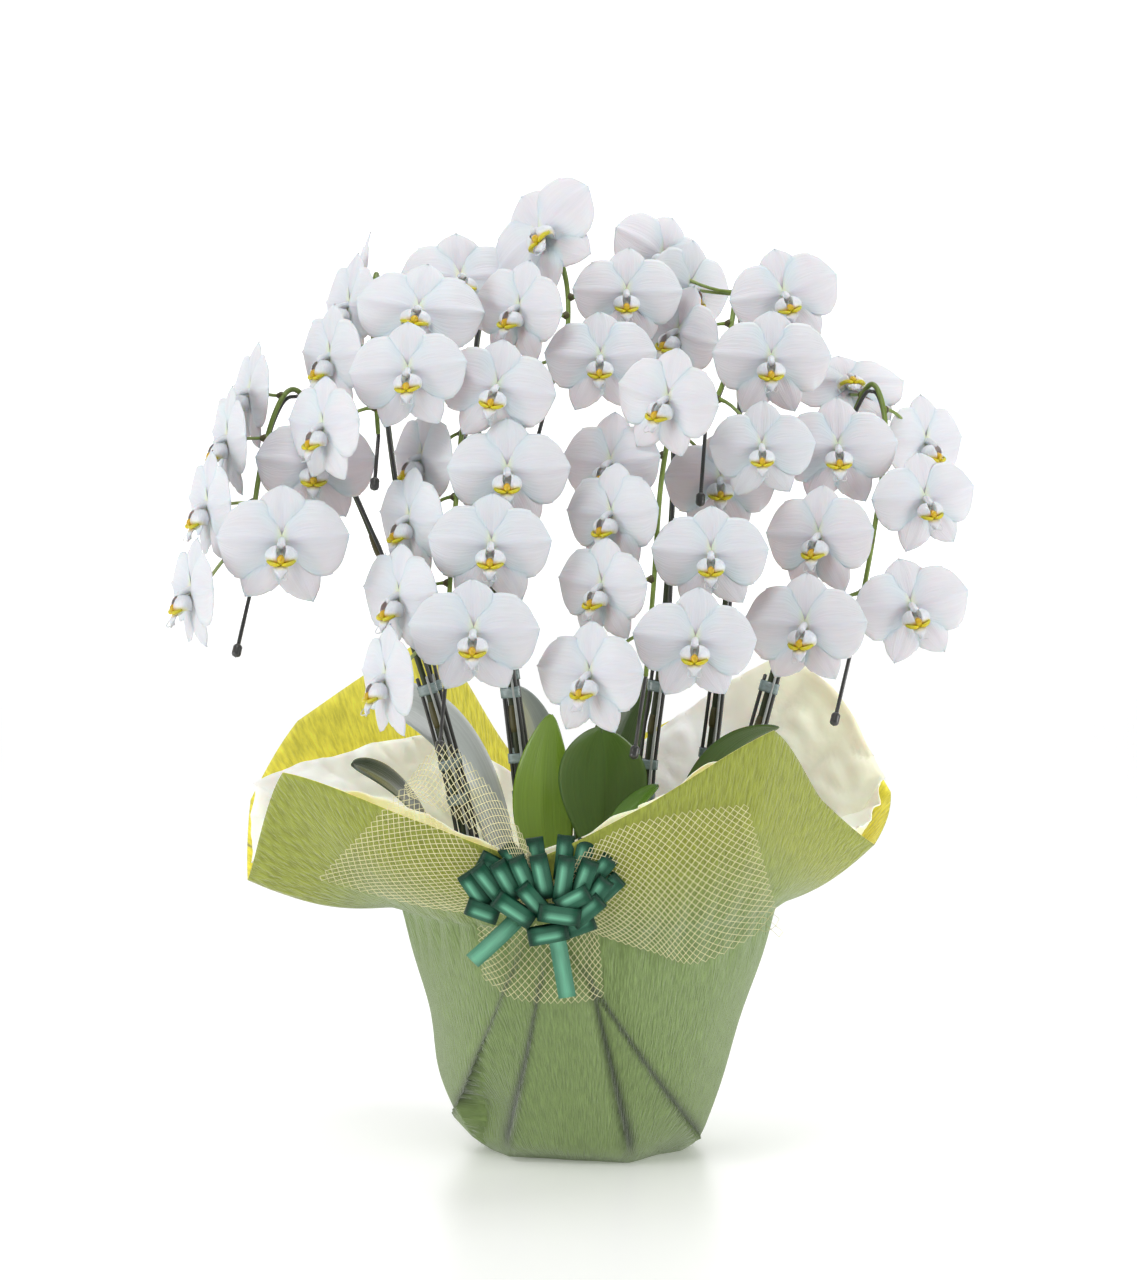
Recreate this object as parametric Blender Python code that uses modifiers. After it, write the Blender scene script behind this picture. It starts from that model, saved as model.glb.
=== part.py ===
"""A potted moth orchid: seven arching flower spikes of large white blooms in one gift-wrapped pot.

Metres, +Z up. The origin is the centre of the underside of the wrapped pot, and the plant faces -Y.
Lists of places are in centimetres, as x (to the right), y (to the back) and z (height).
Every sub-part is one closed solid in an object of its own.
"""

import math
from dataclasses import dataclass

import bmesh
import bpy
from mathutils import Matrix, Vector
from mathutils.bvhtree import BVHTree

CM = 0.01
GAP = 0.0004  # between two pieces that touch

# How far the whole head of flowers is spread and raised, as a share of the real one
SPREAD = 1.0
RISE = 1.0
HEAD_FOOT = 0.15  # height above the fill from which the head has its full spread

# Pot and what it is filled with
POT_HEIGHT = 0.215
POT_RIM_RADIUS = 0.158
POT_FOOT_RADIUS = 0.113
POT_WALL = 0.006
POT_SIDES = 28
FILL_BELOW_RIM = 0.012
FILL_CROWN = 0.006  # how much the middle of the fill stands above its edge

# Wrapping
CREPE_SHEET = 0.0015
CREPE_EDGE_TIE_RADIUS = 0.173  # of the tie that CREPE_EDGE is given for
CREPE_EDGE_TIE_HEIGHT = 0.227
CREPE_EASE_FOOT = 0.011  # room between the pot and the crepe at the foot
CREPE_EASE_RIM = 0.0185
TIE_ABOVE_RIM = 0.010  # height of the tie, where the crepe turns outwards
LINER_SHEET = 0.0012
LINER_ROOM = 0.0092  # between the crepe and the liner
FLARE_SAG = 0.08  # how far the flare sags below straight, as a share of its length
LINER_DEPTH = 0.045  # how far the liner reaches down behind the tie
LINER_TURN = 0.5  # height above the tie at which the liner turns outwards, as a share of its inset
WRAP_STEPS = 2  # columns from one corner point of the sheet to the next
FLARE_ROWS = (0.35, 0.7, 1.0)  # from the tie to the free edge

# Where the free edge of the crepe sheet goes, once round from the right side
CREPE_EDGE = (
    (26.0, -2.0, 28.5), (28.0, 5.0, 32.5), (20.0, 13.0, 44.6), (9.0, 17.0, 38.5),
    (-1.0, 18.5, 33.5), (-7.5, 18.5, 35.0), (-14.6, 16.0, 46.2), (-27.0, 9.0, 38.8),
    (-31.2, 3.5, 32.0), (-31.6, -3.5, 25.2), (-27.0, -12.0, 35.2), (-15.0, -16.5, 30.5),
    (-5.0, -18.8, 27.2), (5.0, -19.5, 32.0), (17.5, -15.5, 38.6), (20.8, -9.0, 32.5),
)
# How much of the crepe's flare the liner covers at each of those points
LINER_SHARE = (
    0.97, 0.97, 0.985, 0.97, 0.92, 0.80, 0.66, 0.92, 0.96, 0.95, 0.86, 0.97, 0.97, 0.97, 0.92, 0.95,
)

# What lies against the front of the wrapping is in front of FRONT_HALF and behind FRONT_MOST
FRONT_HALF = -0.03
FRONT_MOST = -0.21

# Net ribbon tied in front: its upper and lower edge (x, z), from the left end to the right end
RIBBON_SHEET = 0.0012
RIBBON_OFF_CREPE = 0.005
RIBBON_STEPS = 2  # columns from one point of its edges to the next
RIBBON_ROWS = (0.0, 0.25, 0.5, 0.75, 1.0)
RIBBON_FEEL = 0.010  # how far round each of its points the crepe is felt for
RIBBON_TOP = (
    (-16.6, 33.6), (-13.5, 31.2), (-9.5, 28.2), (-6.2, 26.6), (-4.0, 26.4), (-1.8, 26.6),
    (2.6, 30.2), (8.0, 31.8), (13.8, 32.6),
)
RIBBON_FOOT = (
    (-24.6, 23.8), (-19.6, 22.6), (-12.5, 22.4), (-7.0, 22.4), (-4.0, 22.2), (-1.0, 22.4),
    (1.6, 20.6), (9.8, 18.0), (16.4, 20.4),
)
RIBBON_KNOT = (3, 4, 5)  # the points of its edges between which the tail hangs
RIBBON_TAIL = ((-9.8, 16.4), (-5.0, 14.9), (0.8, 15.4))

# Pull bow
BOW_PLACE = (-4.3, 24.6)
BOW_WIDTH = 0.128
BOW_HEIGHT = 0.084
BOW_DEPTH = 0.052
BOW_LOOPS = 8
BOW_RIPPLE = 0.07  # how far each loop stands out of the outline, as a share of the bow's own reach
BOW_CROWN = 0.92  # depth of the middle of its front, as a share of the bow's own
BOW_SECTIONS = ((0.0, 0.5), (0.4, 1.0), (1.0, 0.5))  # depth and size, as shares of the bow's own
BOW_CLEAR = 0.004
BOW_TAIL_CLEAR = 0.004
BOW_TAIL_WIDTH = 0.022
BOW_TAIL_SHEET = 0.0015
BOW_TAILS = (((-6.5, 22.5), (-10.4, 18.6)), ((-3.0, 22.0), (-1.9, 15.6)))

# Flower spikes
STEM_RADIUS = 0.0032
PEDICEL_RADIUS = 0.0018
WIRE_RADIUS = 0.0021
WIRE_BESIDE_STEM = 0.0037
WIRE_TURNS_IN = 0.4  # share of the stem by which the wire has gone from beside it to inside its arch
STEM_STEPS = 2  # tube sections between two points of a route
TUBE_SIDES_STEP = 1  # bevel resolution: a tube of six sides
PEDICEL_SECTIONS = 3
PEDICEL_RISE = 0.01  # a stalk leaves the stem at its point nearest to this far above the bloom
PEDICEL_STRAIGHT = 0.012  # how far it runs straight behind its bloom
PEDICEL_BITE = 0.001  # how far a joined bloom's stalk goes into it
PEDICEL_GAP = 0.0016  # between a stalk and the back of its own bloom

# One bloom, seen from in front: sizes of its petals and sepals
BLOOM_WIDTH = 0.112
PETAL_HALF_HEIGHT = 0.033
DORSAL_LENGTH = 0.044
DORSAL_HALF_WIDTH = 0.018
LATERAL_LENGTH = 0.058
LATERAL_HALF_WIDTH = 0.017
LATERAL_FROM_DOWN = 28.0  # degrees
PETAL_RISE = 4.0  # degrees
PETAL_EDGE = 0.0009  # half the thickness at the edge
BLOOM_BACK = 0.0045  # how far the back of the bloom stands behind its edge
LIP_RADIUS = 0.011
THROAT_RADIUS = 0.0099
THROAT_DROP = 0.0081
LIP_DROP = 0.018
LIP_REACH = 0.021
BLOOM_ANGLES = (-90, -76, -62, -48, -34, -12, 12, 36, 56, 73, 90)  # one half, degrees
JOINED_BLOOMS = 2  # uppermost blooms of each spike that are one solid with their stem

# Leaves: foot, bend and tip of the midrib, widest, and the side roll in degrees
LEAF_THICKNESS = 0.0024
LEAF_SECTIONS = 6
LEAF_ABOVE_FILL = 0.006  # height of a leaf's foot above the fill
LEAF_START = 0.03  # share of the midrib that is left out at its foot
LEAF_NARROWEST = 0.30  # share of its full width at its ends
LEAF_NARROWING = (0.15, 0.80)  # where on a half wave its width starts, and how much of the wave it takes
LEAF_CHANNEL = 0.16  # depth of the fold along the midrib, as a share of the width
LEAVES = {
    "leaf_left_broad": ((-8.0, 9.0, 21.5), (-10.0, 8.0, 41.0), (-19.5, 6.5, 39.8), 8.0, -30.0),
    "leaf_left_low": ((-13.0, 2.5, 21.8), (-15.0, 0.0, 33.5), (-21.6, -3.0, 33.6), 5.4, -12.0),
    "leaf_back_grey": ((-2.5, 9.5, 21.5), (-3.2, 9.0, 37.0), (-6.8, 8.0, 42.2), 5.2, 15.0),
    "leaf_mid_pale": ((-1.8, -6.5, 22.0), (-5.2, -6.6, 30.0), (-2.4, -7.2, 39.8), 5.2, 70.0),
    "leaf_mid_tall": ((1.0, 1.5, 22.0), (-1.0, 1.0, 34.0), (3.6, -1.5, 42.6), 6.6, 60.0),
    "leaf_mid_round": ((1.6, -7.5, 22.0), (1.2, -8.5, 38.0), (1.1, -13.2, 38.0), 7.4, 0.0),
    "leaf_front_edge": ((0.4, -11.0, 21.6), (0.0, -15.2, 30.5), (5.2, -15.4, 33.2), 4.0, 20.0),
    "leaf_right_broad": ((8.6, -5.0, 21.6), (9.6, -8.0, 38.0), (16.6, -10.5, 38.8), 6.0, 0.0),
}


@dataclass(frozen=True)
class Spike:
    """One flower spike: the route of its stem, where its wire ends, and its blooms from the top down.

    A bloom is x, y and z of the point where its petals meet, then how far it is turned to the right,
    tilted up and rolled, in degrees, and its size.
    """

    name: str
    route: tuple
    wire_tip: tuple
    blooms: tuple


SPIKES = (
    Spike(
        "far_left",
        ((-10.5, -1.0, 21.6), (-11.9, -1.0, 31.5), (-15.6, -0.5, 45.0), (-20.4, 0.5, 58.0),
         (-24.6, 3.2, 66.5), (-27.2, 2.8, 70.4), (-29.0, -0.4, 68.0), (-30.4, -4.2, 61.0),
         (-30.8, -8.0, 52.2)),
        (-31.9, -9.6, 46.7),
        ((-31.4, 1.6, 70.2, -70, 5, 0, 1.0), (-33.2, -1.8, 66.0, -70, 0, 0, 1.0),
         (-25.0, -4.4, 63.8, 0, 4, 0, 0.98), (-34.8, -5.0, 60.1, -66, 0, 0, 1.0),
         (-27.5, -11.8, 57.2, 0, 4, 0, 1.06), (-36.0, -9.2, 52.6, -66, 0, 0, 1.0)),
    ),
    Spike(
        "upper_left",
        ((-9.6, 2.6, 21.6), (-12.0, 2.6, 33.0), (-15.0, 3.0, 45.0), (-18.0, 4.5, 62.0),
         (-19.4, 5.8, 74.0), (-19.6, 3.5, 81.0), (-19.8, 0.0, 77.6), (-19.5, -3.8, 71.5),
         (-19.1, -6.2, 66.7)),
        (-19.4, -7.8, 61.7),
        ((-21.4, 8.4, 80.6, -84, 5, 0, 0.95), (-15.5, -4.4, 77.8, 0, 24, 9, 1.04),
         (-22.2, 2.4, 78.2, -64, 5, 0, 1.0), (-23.7, -2.4, 73.6, -58, 0, 0, 1.0),
         (-16.2, -10.0, 72.4, -10, 6, -6, 0.95), (-24.0, -9.2, 67.4, -50, 0, 0, 0.96)),
    ),
    Spike(
        "top_centre",
        ((-3.8, 2.4, 21.6), (-6.5, 3.0, 38.0), (-8.8, 4.0, 55.0), (-10.6, 5.0, 70.0),
         (-9.2, 5.8, 80.0), (-5.6, 4.4, 85.4), (-2.4, 1.4, 82.0), (-1.9, -2.2, 75.8),
         (-3.4, -4.6, 71.0)),
        (-4.9, -6.2, 65.2),
        ((-4.4, 1.0, 84.6, -45, 20, -38, 1.08), (-11.8, 2.0, 80.7, 10, 26, 0, 1.0),
         (3.5, -2.4, 79.4, 0, 4, 0, 0.88), (-6.4, -4.4, 78.0, -40, 6, 6, 0.93),
         (1.1, -6.0, 73.5, -4, 4, 0, 0.9), (-8.3, -9.6, 70.9, -8, 6, 10, 0.93)),
    ),
    Spike(
        "top_right",
        ((8.6, 2.4, 21.6), (10.8, 2.4, 33.0), (12.2, 2.4, 44.0), (13.8, 3.5, 62.0),
         (14.3, 4.5, 74.0), (13.9, 3.0, 79.4), (13.2, -0.8, 76.6), (12.4, -4.2, 71.6),
         (10.7, -6.6, 68.2)),
        (10.1, -8.4, 60.3),
        ((7.0, 6.6, 82.8, 30, 15, 28, 0.92), (9.6, 5.6, 79.9, 40, 0, 10, 0.9),
         (18.0, -1.6, 79.2, 6, 8, -12, 0.9), (8.2, -0.4, 75.8, -46, 4, 16, 0.9),
         (16.6, -5.8, 73.4, -2, 4, 0, 0.94), (7.0, -11.4, 69.9, -34, 4, 10, 0.95),
         (15.6, -9.8, 65.6, 0, 4, 0, 0.85)),
    ),
    Spike(
        "far_right",
        ((11.6, -1.4, 21.6), (14.4, -1.2, 34.0), (17.3, -1.0, 45.0), (21.2, -0.6, 59.0),
         (24.2, 0.2, 67.4), (26.2, -0.9, 71.0), (27.2, -3.8, 66.6), (25.8, -7.4, 57.0),
         (23.9, -9.8, 47.8)),
        (22.1, -11.8, 40.7),
        ((24.2, 4.6, 71.0, 10, 52, 0, 1.0), (31.4, 1.6, 65.6, 42, 4, 0, 0.9),
         (22.6, -7.6, 65.4, 2, 6, 0, 0.94), (30.5, -8.4, 60.8, 16, 4, -8, 0.88),
         (20.7, -10.8, 57.6, -28, 2, 0, 0.95), (29.0, -12.0, 51.4, 8, 4, -12, 0.93),
         (19.3, -14.2, 49.8, -20, 2, 0, 0.98)),
    ),
    Spike(
        "front_left",
        ((-4.8, -2.4, 21.6), (-5.8, -2.4, 31.0), (-7.5, -2.4, 45.0), (-9.6, -3.0, 58.0),
         (-11.0, -4.0, 64.8), (-11.4, -6.6, 67.2), (-11.8, -10.0, 62.4), (-12.4, -13.2, 53.6),
         (-12.8, -15.2, 44.6)),
        (-13.3, -16.6, 38.7),
        ((-15.3, -4.8, 64.4, -60, 4, 0, 1.0), (-7.3, -11.2, 63.5, 0, 4, 0, 0.97),
         (-16.3, -8.0, 59.0, -58, 0, 0, 1.0), (-8.7, -14.4, 57.0, -3, 4, 0, 0.98),
         (-17.1, -12.0, 52.3, -52, 0, 0, 1.0), (-10.2, -18.2, 49.5, -3, 3, 0, 1.0),
         (-18.1, -17.0, 45.4, -64, 0, 0, 1.0)),
    ),
    Spike(
        "front_right",
        ((4.6, -2.4, 21.6), (5.4, -2.4, 35.0), (6.7, -2.6, 46.0), (7.6, -3.2, 58.0),
         (7.8, -4.0, 64.6), (7.5, -6.4, 67.2), (6.5, -9.8, 62.0), (5.8, -13.2, 53.2),
         (5.1, -15.0, 45.4)),
        (4.0, -16.4, 38.2),
        ((2.0, -7.2, 64.0, -36, 4, 0, 0.95), (12.0, -5.8, 62.4, 0, 7, 0, 0.9),
         (2.0, -11.2, 59.6, -40, 2, 0, 0.95), (10.9, -14.4, 56.2, -2, 4, 0, 0.92),
         (1.1, -14.4, 53.3, -40, 2, 0, 0.92), (9.4, -18.4, 48.8, -4, 3, 0, 0.96),
         (0.0, -18.6, 45.8, -32, 2, 0, 0.97)),
    ),
)

# Colours as linear red, green and blue, then roughness
FINISHES = {
    "petal": ((0.86, 0.88, 0.92), 0.55),
    "stem": ((0.10, 0.17, 0.04), 0.45),
    "wire": ((0.035, 0.035, 0.035), 0.40),
    "leaf": ((0.04, 0.11, 0.01), 0.30),
    "pot": ((0.80, 0.79, 0.76), 0.20),
    "bark": ((0.10, 0.06, 0.03), 0.90),
    "crepe": ((0.24, 0.37, 0.12), 0.85),
    "liner": ((0.84, 0.86, 0.72), 0.80),
    "net": ((0.76, 0.69, 0.42), 0.60),
    "satin": ((0.005, 0.15, 0.07), 0.30),
}

CENTIMETRE_PLACE = Matrix.Scale(CM, 4)


def clear_scene():
    """Start from an empty scene."""
    for item in list(bpy.data.objects):
        bpy.data.objects.remove(item, do_unlink=True)


def material(finish):
    """The one material of a finish, made the first time it is asked for."""
    found = bpy.data.materials.get(finish)
    if found:
        return found
    colour, roughness = FINISHES[finish]
    made = bpy.data.materials.new(finish)
    made.use_nodes = True
    shader = made.node_tree.nodes["Principled BSDF"]
    shader.inputs["Base Color"].default_value = (*colour, 1.0)
    shader.inputs["Roughness"].default_value = roughness
    return made


def in_metres(place):
    """A place given in centimetres."""
    return CENTIMETRE_PLACE @ Vector(place)


def in_flower_head(place):
    """A place above the fill, in centimetres, with the spread and rise of the whole head.

    The spread starts at the fill and has reached its full share at HEAD_FOOT above it.
    """
    x, y, z = place
    foot = fill_top() / CM
    spread = 1.0 + (SPREAD - 1.0) * min(1.0, max(0.0, (z - foot) * CM / HEAD_FOOT))
    return in_metres((x * spread, y * spread, foot + (z - foot) * RISE))


def smooth_route(points, steps, closed=False):
    """Points on a Catmull-Rom curve through the given ones."""
    count = len(points)
    spans = count if closed else count - 1
    route = []
    for span in range(spans):
        if closed:
            a, b, c, d = (points[(span + k) % count] for k in (-1, 0, 1, 2))
        else:
            b, c = points[span], points[span + 1]
            a = points[span - 1] if span else b * 2 - c
            d = points[span + 2] if span + 2 < count else c * 2 - b
        for step in range(steps):
            t = step / steps
            route.append(
                0.5 * (2 * b + (c - a) * t + (2 * a - 5 * b + 4 * c - d) * t**2
                       + (3 * b - a - 3 * c + d) * t**3)
            )
    if not closed:
        route.append(points[-1].copy())
    return route


def new_object(name, data, finish, collection):
    """An object in a collection, with its finish."""
    made = bpy.data.objects.new(name, data)
    made.data.materials.append(material(finish))
    collection.objects.link(made)
    return made


def mesh_from(name, build):
    """A mesh filled by a function that takes a bmesh."""
    data = bpy.data.meshes.new(name)
    work = bmesh.new()
    build(work)
    work.to_mesh(data)
    work.free()
    return data


def loft(name, rings, finish, collection):
    """A closed solid through rings of equally many points; a ring of one point closes an end."""

    def build(work):
        rows = [[work.verts.new(point) for point in ring] for ring in rings]
        for low, high in zip(rows, rows[1:]):
            count = max(len(low), len(high))
            for i in range(count):
                j = (i + 1) % count
                if len(low) == 1:
                    work.faces.new((low[0], high[i], high[j]))
                elif len(high) == 1:
                    work.faces.new((low[i], low[j], high[0]))
                else:
                    work.faces.new((low[i], low[j], high[j], high[i]))
        bmesh.ops.recalc_face_normals(work, faces=work.faces)

    made = new_object(name, mesh_from(name, build), finish, collection)
    made.data.shade_smooth()
    made.data.set_sharp_from_angle(angle=math.radians(40))
    return made


def solidify(item, thickness, offset):
    """Give an open sheet its thickness."""
    wall = item.modifiers.new("sheet", "SOLIDIFY")
    wall.thickness = thickness
    wall.offset = offset


def turned(name, profile, finish, collection):
    """A turned solid from the profile of one side, down its outer side."""

    def build(work):
        points = [work.verts.new((radius, 0.0, height)) for radius, height in profile]
        for a, b in zip(points, points[1:]):
            work.edges.new((a, b))

    made = new_object(name, mesh_from(name, build), finish, collection)
    screw = made.modifiers.new("turn", "SCREW")
    screw.steps = POT_SIDES
    screw.render_steps = POT_SIDES
    screw.use_merge_vertices = True
    screw.merge_threshold = 0.00001
    return made


def tube(name, points, radius, finish, collection):
    """A round rod along points, with closed ends."""
    path = bpy.data.curves.new(name, "CURVE")
    path.dimensions = "3D"
    path.bevel_depth = radius
    path.bevel_resolution = TUBE_SIDES_STEP
    path.use_fill_caps = True
    spline = path.splines.new("POLY")
    spline.points.add(len(points) - 1)
    for slot, point in zip(spline.points, points):
        slot.co = (*point, 1.0)
    return new_object(name, path, finish, collection)


def as_mesh(item, collection):
    """The same object as a plain mesh, with a tube's ends welded on."""
    graph = bpy.context.evaluated_depsgraph_get()
    data = bpy.data.meshes.new_from_object(item.evaluated_get(graph), depsgraph=graph)
    work = bmesh.new()
    work.from_mesh(data)
    bmesh.ops.remove_doubles(work, verts=work.verts, dist=0.00001)
    bmesh.ops.recalc_face_normals(work, faces=work.faces)
    work.to_mesh(data)
    work.free()
    name = item.name
    place = item.matrix_world.copy()
    bpy.data.objects.remove(item, do_unlink=True)
    data.name = name
    made = bpy.data.objects.new(name, data)
    made.matrix_world = place
    collection.objects.link(made)
    return made


def join_all(base, pieces, collection):
    """One solid from a base and the pieces that run into it."""
    for piece in pieces:
        union = base.modifiers.new(piece.name, "BOOLEAN")
        union.operation = "UNION"
        union.material_mode = "TRANSFER"
        union.object = piece
    made = as_mesh(base, collection)
    for piece in pieces:
        bpy.data.objects.remove(piece, do_unlink=True)
    return made


def fill_top():
    """Height of the fill at the wall of the pot."""
    return pot_foot() + POT_HEIGHT - FILL_BELOW_RIM


def pot_foot():
    """Height of the underside of the pot, on the crepe."""
    return CREPE_SHEET + GAP


def tie_height():
    """Height at which the wrapping is tied in under the flare."""
    return pot_foot() + POT_HEIGHT + TIE_ABOVE_RIM


def crepe_radius(height):
    """Outer radius of the crepe below the tie."""
    share = height / tie_height()
    foot = POT_FOOT_RADIUS + CREPE_EASE_FOOT
    rim = POT_RIM_RADIUS + CREPE_EASE_RIM
    return foot + (rim - foot) * share


def wrap_columns():
    """Each column of the flare: its direction round the pot and the edge point it ends at."""
    edge = smooth_route([in_metres(point) for point in CREPE_EDGE], WRAP_STEPS, closed=True)
    outwards = crepe_radius(tie_height()) / CREPE_EDGE_TIE_RADIUS
    upwards = tie_height() - CREPE_EDGE_TIE_HEIGHT
    columns = []
    for point in edge:
        moved = Vector((point.x * outwards, point.y * outwards, point.z + upwards))
        columns.append((math.atan2(point.y, point.x), moved))
    return columns


def on_wrap(angle, edge, share):
    """A point of the crepe between the tie (share 0) and its free edge (share 1)."""
    out = Vector((math.cos(angle), math.sin(angle), 0.0))
    foot = out * crepe_radius(tie_height()) + Vector((0.0, 0.0, tie_height()))
    sag = FLARE_SAG * (edge - foot).length * math.sin(math.pi * share)
    return foot.lerp(edge, share) - Vector((0.0, 0.0, sag))


def inside_wrap(columns, index, share, inset):
    """A point just inside the flare of the crepe, square off its surface."""
    count = len(columns)
    before = on_wrap(*columns[(index - 1) % count], share)
    after = on_wrap(*columns[(index + 1) % count], share)
    here = on_wrap(*columns[index], share)
    up = on_wrap(*columns[index], share + 0.05) - on_wrap(*columns[index], share - 0.05)
    outwards = (after - before).cross(up).normalized()
    return here - outwards * inset


def open_sheet(name, rows, closed, finish, collection, bottom=False):
    """An open surface through rows of points, with a flat bottom inside its first row."""

    def build(work):
        grid = [[work.verts.new(point) for point in row] for row in rows]
        count = len(rows[0])
        for low, high in zip(grid, grid[1:]):
            for i in range(count if closed else count - 1):
                j = (i + 1) % count
                work.faces.new((low[i], low[j], high[j], high[i]))
        if bottom:
            middle = work.verts.new((0.0, 0.0, rows[0][0].z))
            for i in range(count):
                work.faces.new((middle, grid[0][(i + 1) % count], grid[0][i]))

    made = new_object(name, mesh_from(name, build), finish, collection)
    made.data.shade_smooth()
    return made


def add_pot(collection):
    """The round pot and the bark that fills it."""
    foot, rim = pot_foot(), pot_foot() + POT_HEIGHT
    inner_foot = POT_FOOT_RADIUS - POT_WALL
    inner_rim = POT_RIM_RADIUS - POT_WALL
    floor = foot + POT_WALL
    turned(
        "pot",
        ((0.0, floor), (inner_foot, floor), (inner_rim, rim), (POT_RIM_RADIUS, rim),
         (POT_FOOT_RADIUS, foot), (0.0, foot)),
        "pot",
        collection,
    )
    top = fill_top()
    share = (top - floor) / (rim - floor)
    top_radius = inner_foot + (inner_rim - inner_foot) * share - 2 * GAP
    turned(
        "growing_medium",
        ((0.0, top + FILL_CROWN), (top_radius, top), (inner_foot - 2 * GAP, floor + GAP),
         (0.0, floor + GAP)),
        "bark",
        collection,
    )


def add_wrapping(collection):
    """The crepe sheet round the pot with its flared corners, and the liner inside the flare."""
    columns = wrap_columns()
    rows = []
    for height in (0.0, 0.5 * tie_height(), tie_height()):
        radius = crepe_radius(height)
        rows.append(
            [Vector((radius * math.cos(a), radius * math.sin(a), height)) for a, _ in columns]
        )
    for share in FLARE_ROWS:
        rows.append([on_wrap(angle, edge, share) for angle, edge in columns])
    crepe = open_sheet("crepe_wrap", rows, True, "crepe", collection, bottom=True)
    solidify(crepe, CREPE_SHEET, -1.0)

    shares = [Vector((share, 0.0, 0.0)) for share in LINER_SHARE]
    reach = [share.x for share in smooth_route(shares, WRAP_STEPS, closed=True)]
    inset = CREPE_SHEET + LINER_ROOM
    rows = []
    for above_tie in (-LINER_DEPTH, 0.0, LINER_TURN * inset):
        height = tie_height() + above_tie
        radius = crepe_radius(min(height, tie_height())) - inset
        rows.append(
            [Vector((radius * math.cos(a), radius * math.sin(a), height)) for a, _ in columns]
        )
    for share in FLARE_ROWS:
        rows.append(
            [inside_wrap(columns, index, share * most, inset) for index, most in enumerate(reach)]
        )
    liner = open_sheet("liner_sheet", rows, True, "liner", collection)
    solidify(liner, LINER_SHEET, -1.0)
    return crepe


def surface_of(item):
    """A search tree over an object's finished surface."""
    graph = bpy.context.evaluated_depsgraph_get()
    return BVHTree.FromObject(item, graph)


def in_front_of(surfaces, x, z, clearance):
    """The point at x and z that lies just in front of the foremost of some surfaces."""
    depths = []
    for surface in surfaces:
        hit, _, _, _ = surface.ray_cast(Vector((x, -1.0, z)), Vector((0.0, 1.0, 0.0)))
        if hit is None or hit.y > FRONT_HALF:
            hit, _, _, _ = surface.find_nearest(Vector((x, FRONT_MOST, z)))
        depths.append(hit.y)
    return Vector((x, min(depths) - clearance, z))


def add_ribbon(crepe, collection):
    """The net ribbon: one band pinched at the knot, with a tail below it."""
    surface = surface_of(crepe)

    def laid(place):
        x, z = place.x * CM, place.y * CM
        depth = min(
            in_front_of([surface], x + dx, z + dz, RIBBON_OFF_CREPE).y
            for dx in (-RIBBON_FEEL, 0.0, RIBBON_FEEL) for dz in (-RIBBON_FEEL, 0.0, RIBBON_FEEL)
        )
        return Vector((x, depth, z))

    top, foot, tail_end = (
        smooth_route([Vector((x, z, 0.0)) for x, z in edge], RIBBON_STEPS)
        for edge in (RIBBON_TOP, RIBBON_FOOT, RIBBON_TAIL)
    )
    rows = [
        [laid(low.lerp(high, share)) for low, high in zip(foot, top)] for share in RIBBON_ROWS
    ]
    first, last = RIBBON_KNOT[0] * RIBBON_STEPS, RIBBON_KNOT[-1] * RIBBON_STEPS
    hung_from = range(first, last + 1)
    tail_middle = [laid(foot[i].lerp(end, 0.5)) for i, end in zip(hung_from, tail_end)]
    tail_end = [laid(end) for end in tail_end]

    def build(work):
        grid = [[work.verts.new(point) for point in row] for row in rows]
        for low, high in zip(grid, grid[1:]):
            for i in range(len(low) - 1):
                work.faces.new((low[i], low[i + 1], high[i + 1], high[i]))
        tail = [[work.verts.new(point) for point in row] for row in (tail_end, tail_middle)]
        tail.append([grid[0][i] for i in hung_from])
        for low, high in zip(tail, tail[1:]):
            for i in range(len(low) - 1):
                work.faces.new((low[i], low[i + 1], high[i + 1], high[i]))

    made = new_object("net_ribbon", mesh_from("net_ribbon", build), "net", collection)
    solidify(made, RIBBON_SHEET, 1.0)
    return made


def strip(name, ends, surfaces, root, collection):
    """A flat ribbon end that leaves the bow at a depth and hangs in front of some surfaces."""
    head, foot = (Vector((x * CM, 0.0, z * CM)) for x, z in ends)
    side = (foot - head).cross(Vector((0.0, 1.0, 0.0))).normalized() * BOW_TAIL_WIDTH / 2
    rows = []
    for share in (0.0, 0.4, 0.7, 1.0):
        middle = head.lerp(foot, share)
        corners = (middle + side, middle - side)
        depth = min(
            in_front_of(surfaces, corner.x, corner.z, BOW_TAIL_CLEAR).y for corner in corners
        )
        depth = root if share == 0.0 else depth
        rows.append([Vector((corner.x, depth, corner.z)) for corner in corners])
    made = open_sheet(name, rows, False, "satin", collection)
    solidify(made, BOW_TAIL_SHEET, 0.0)
    return made


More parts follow.
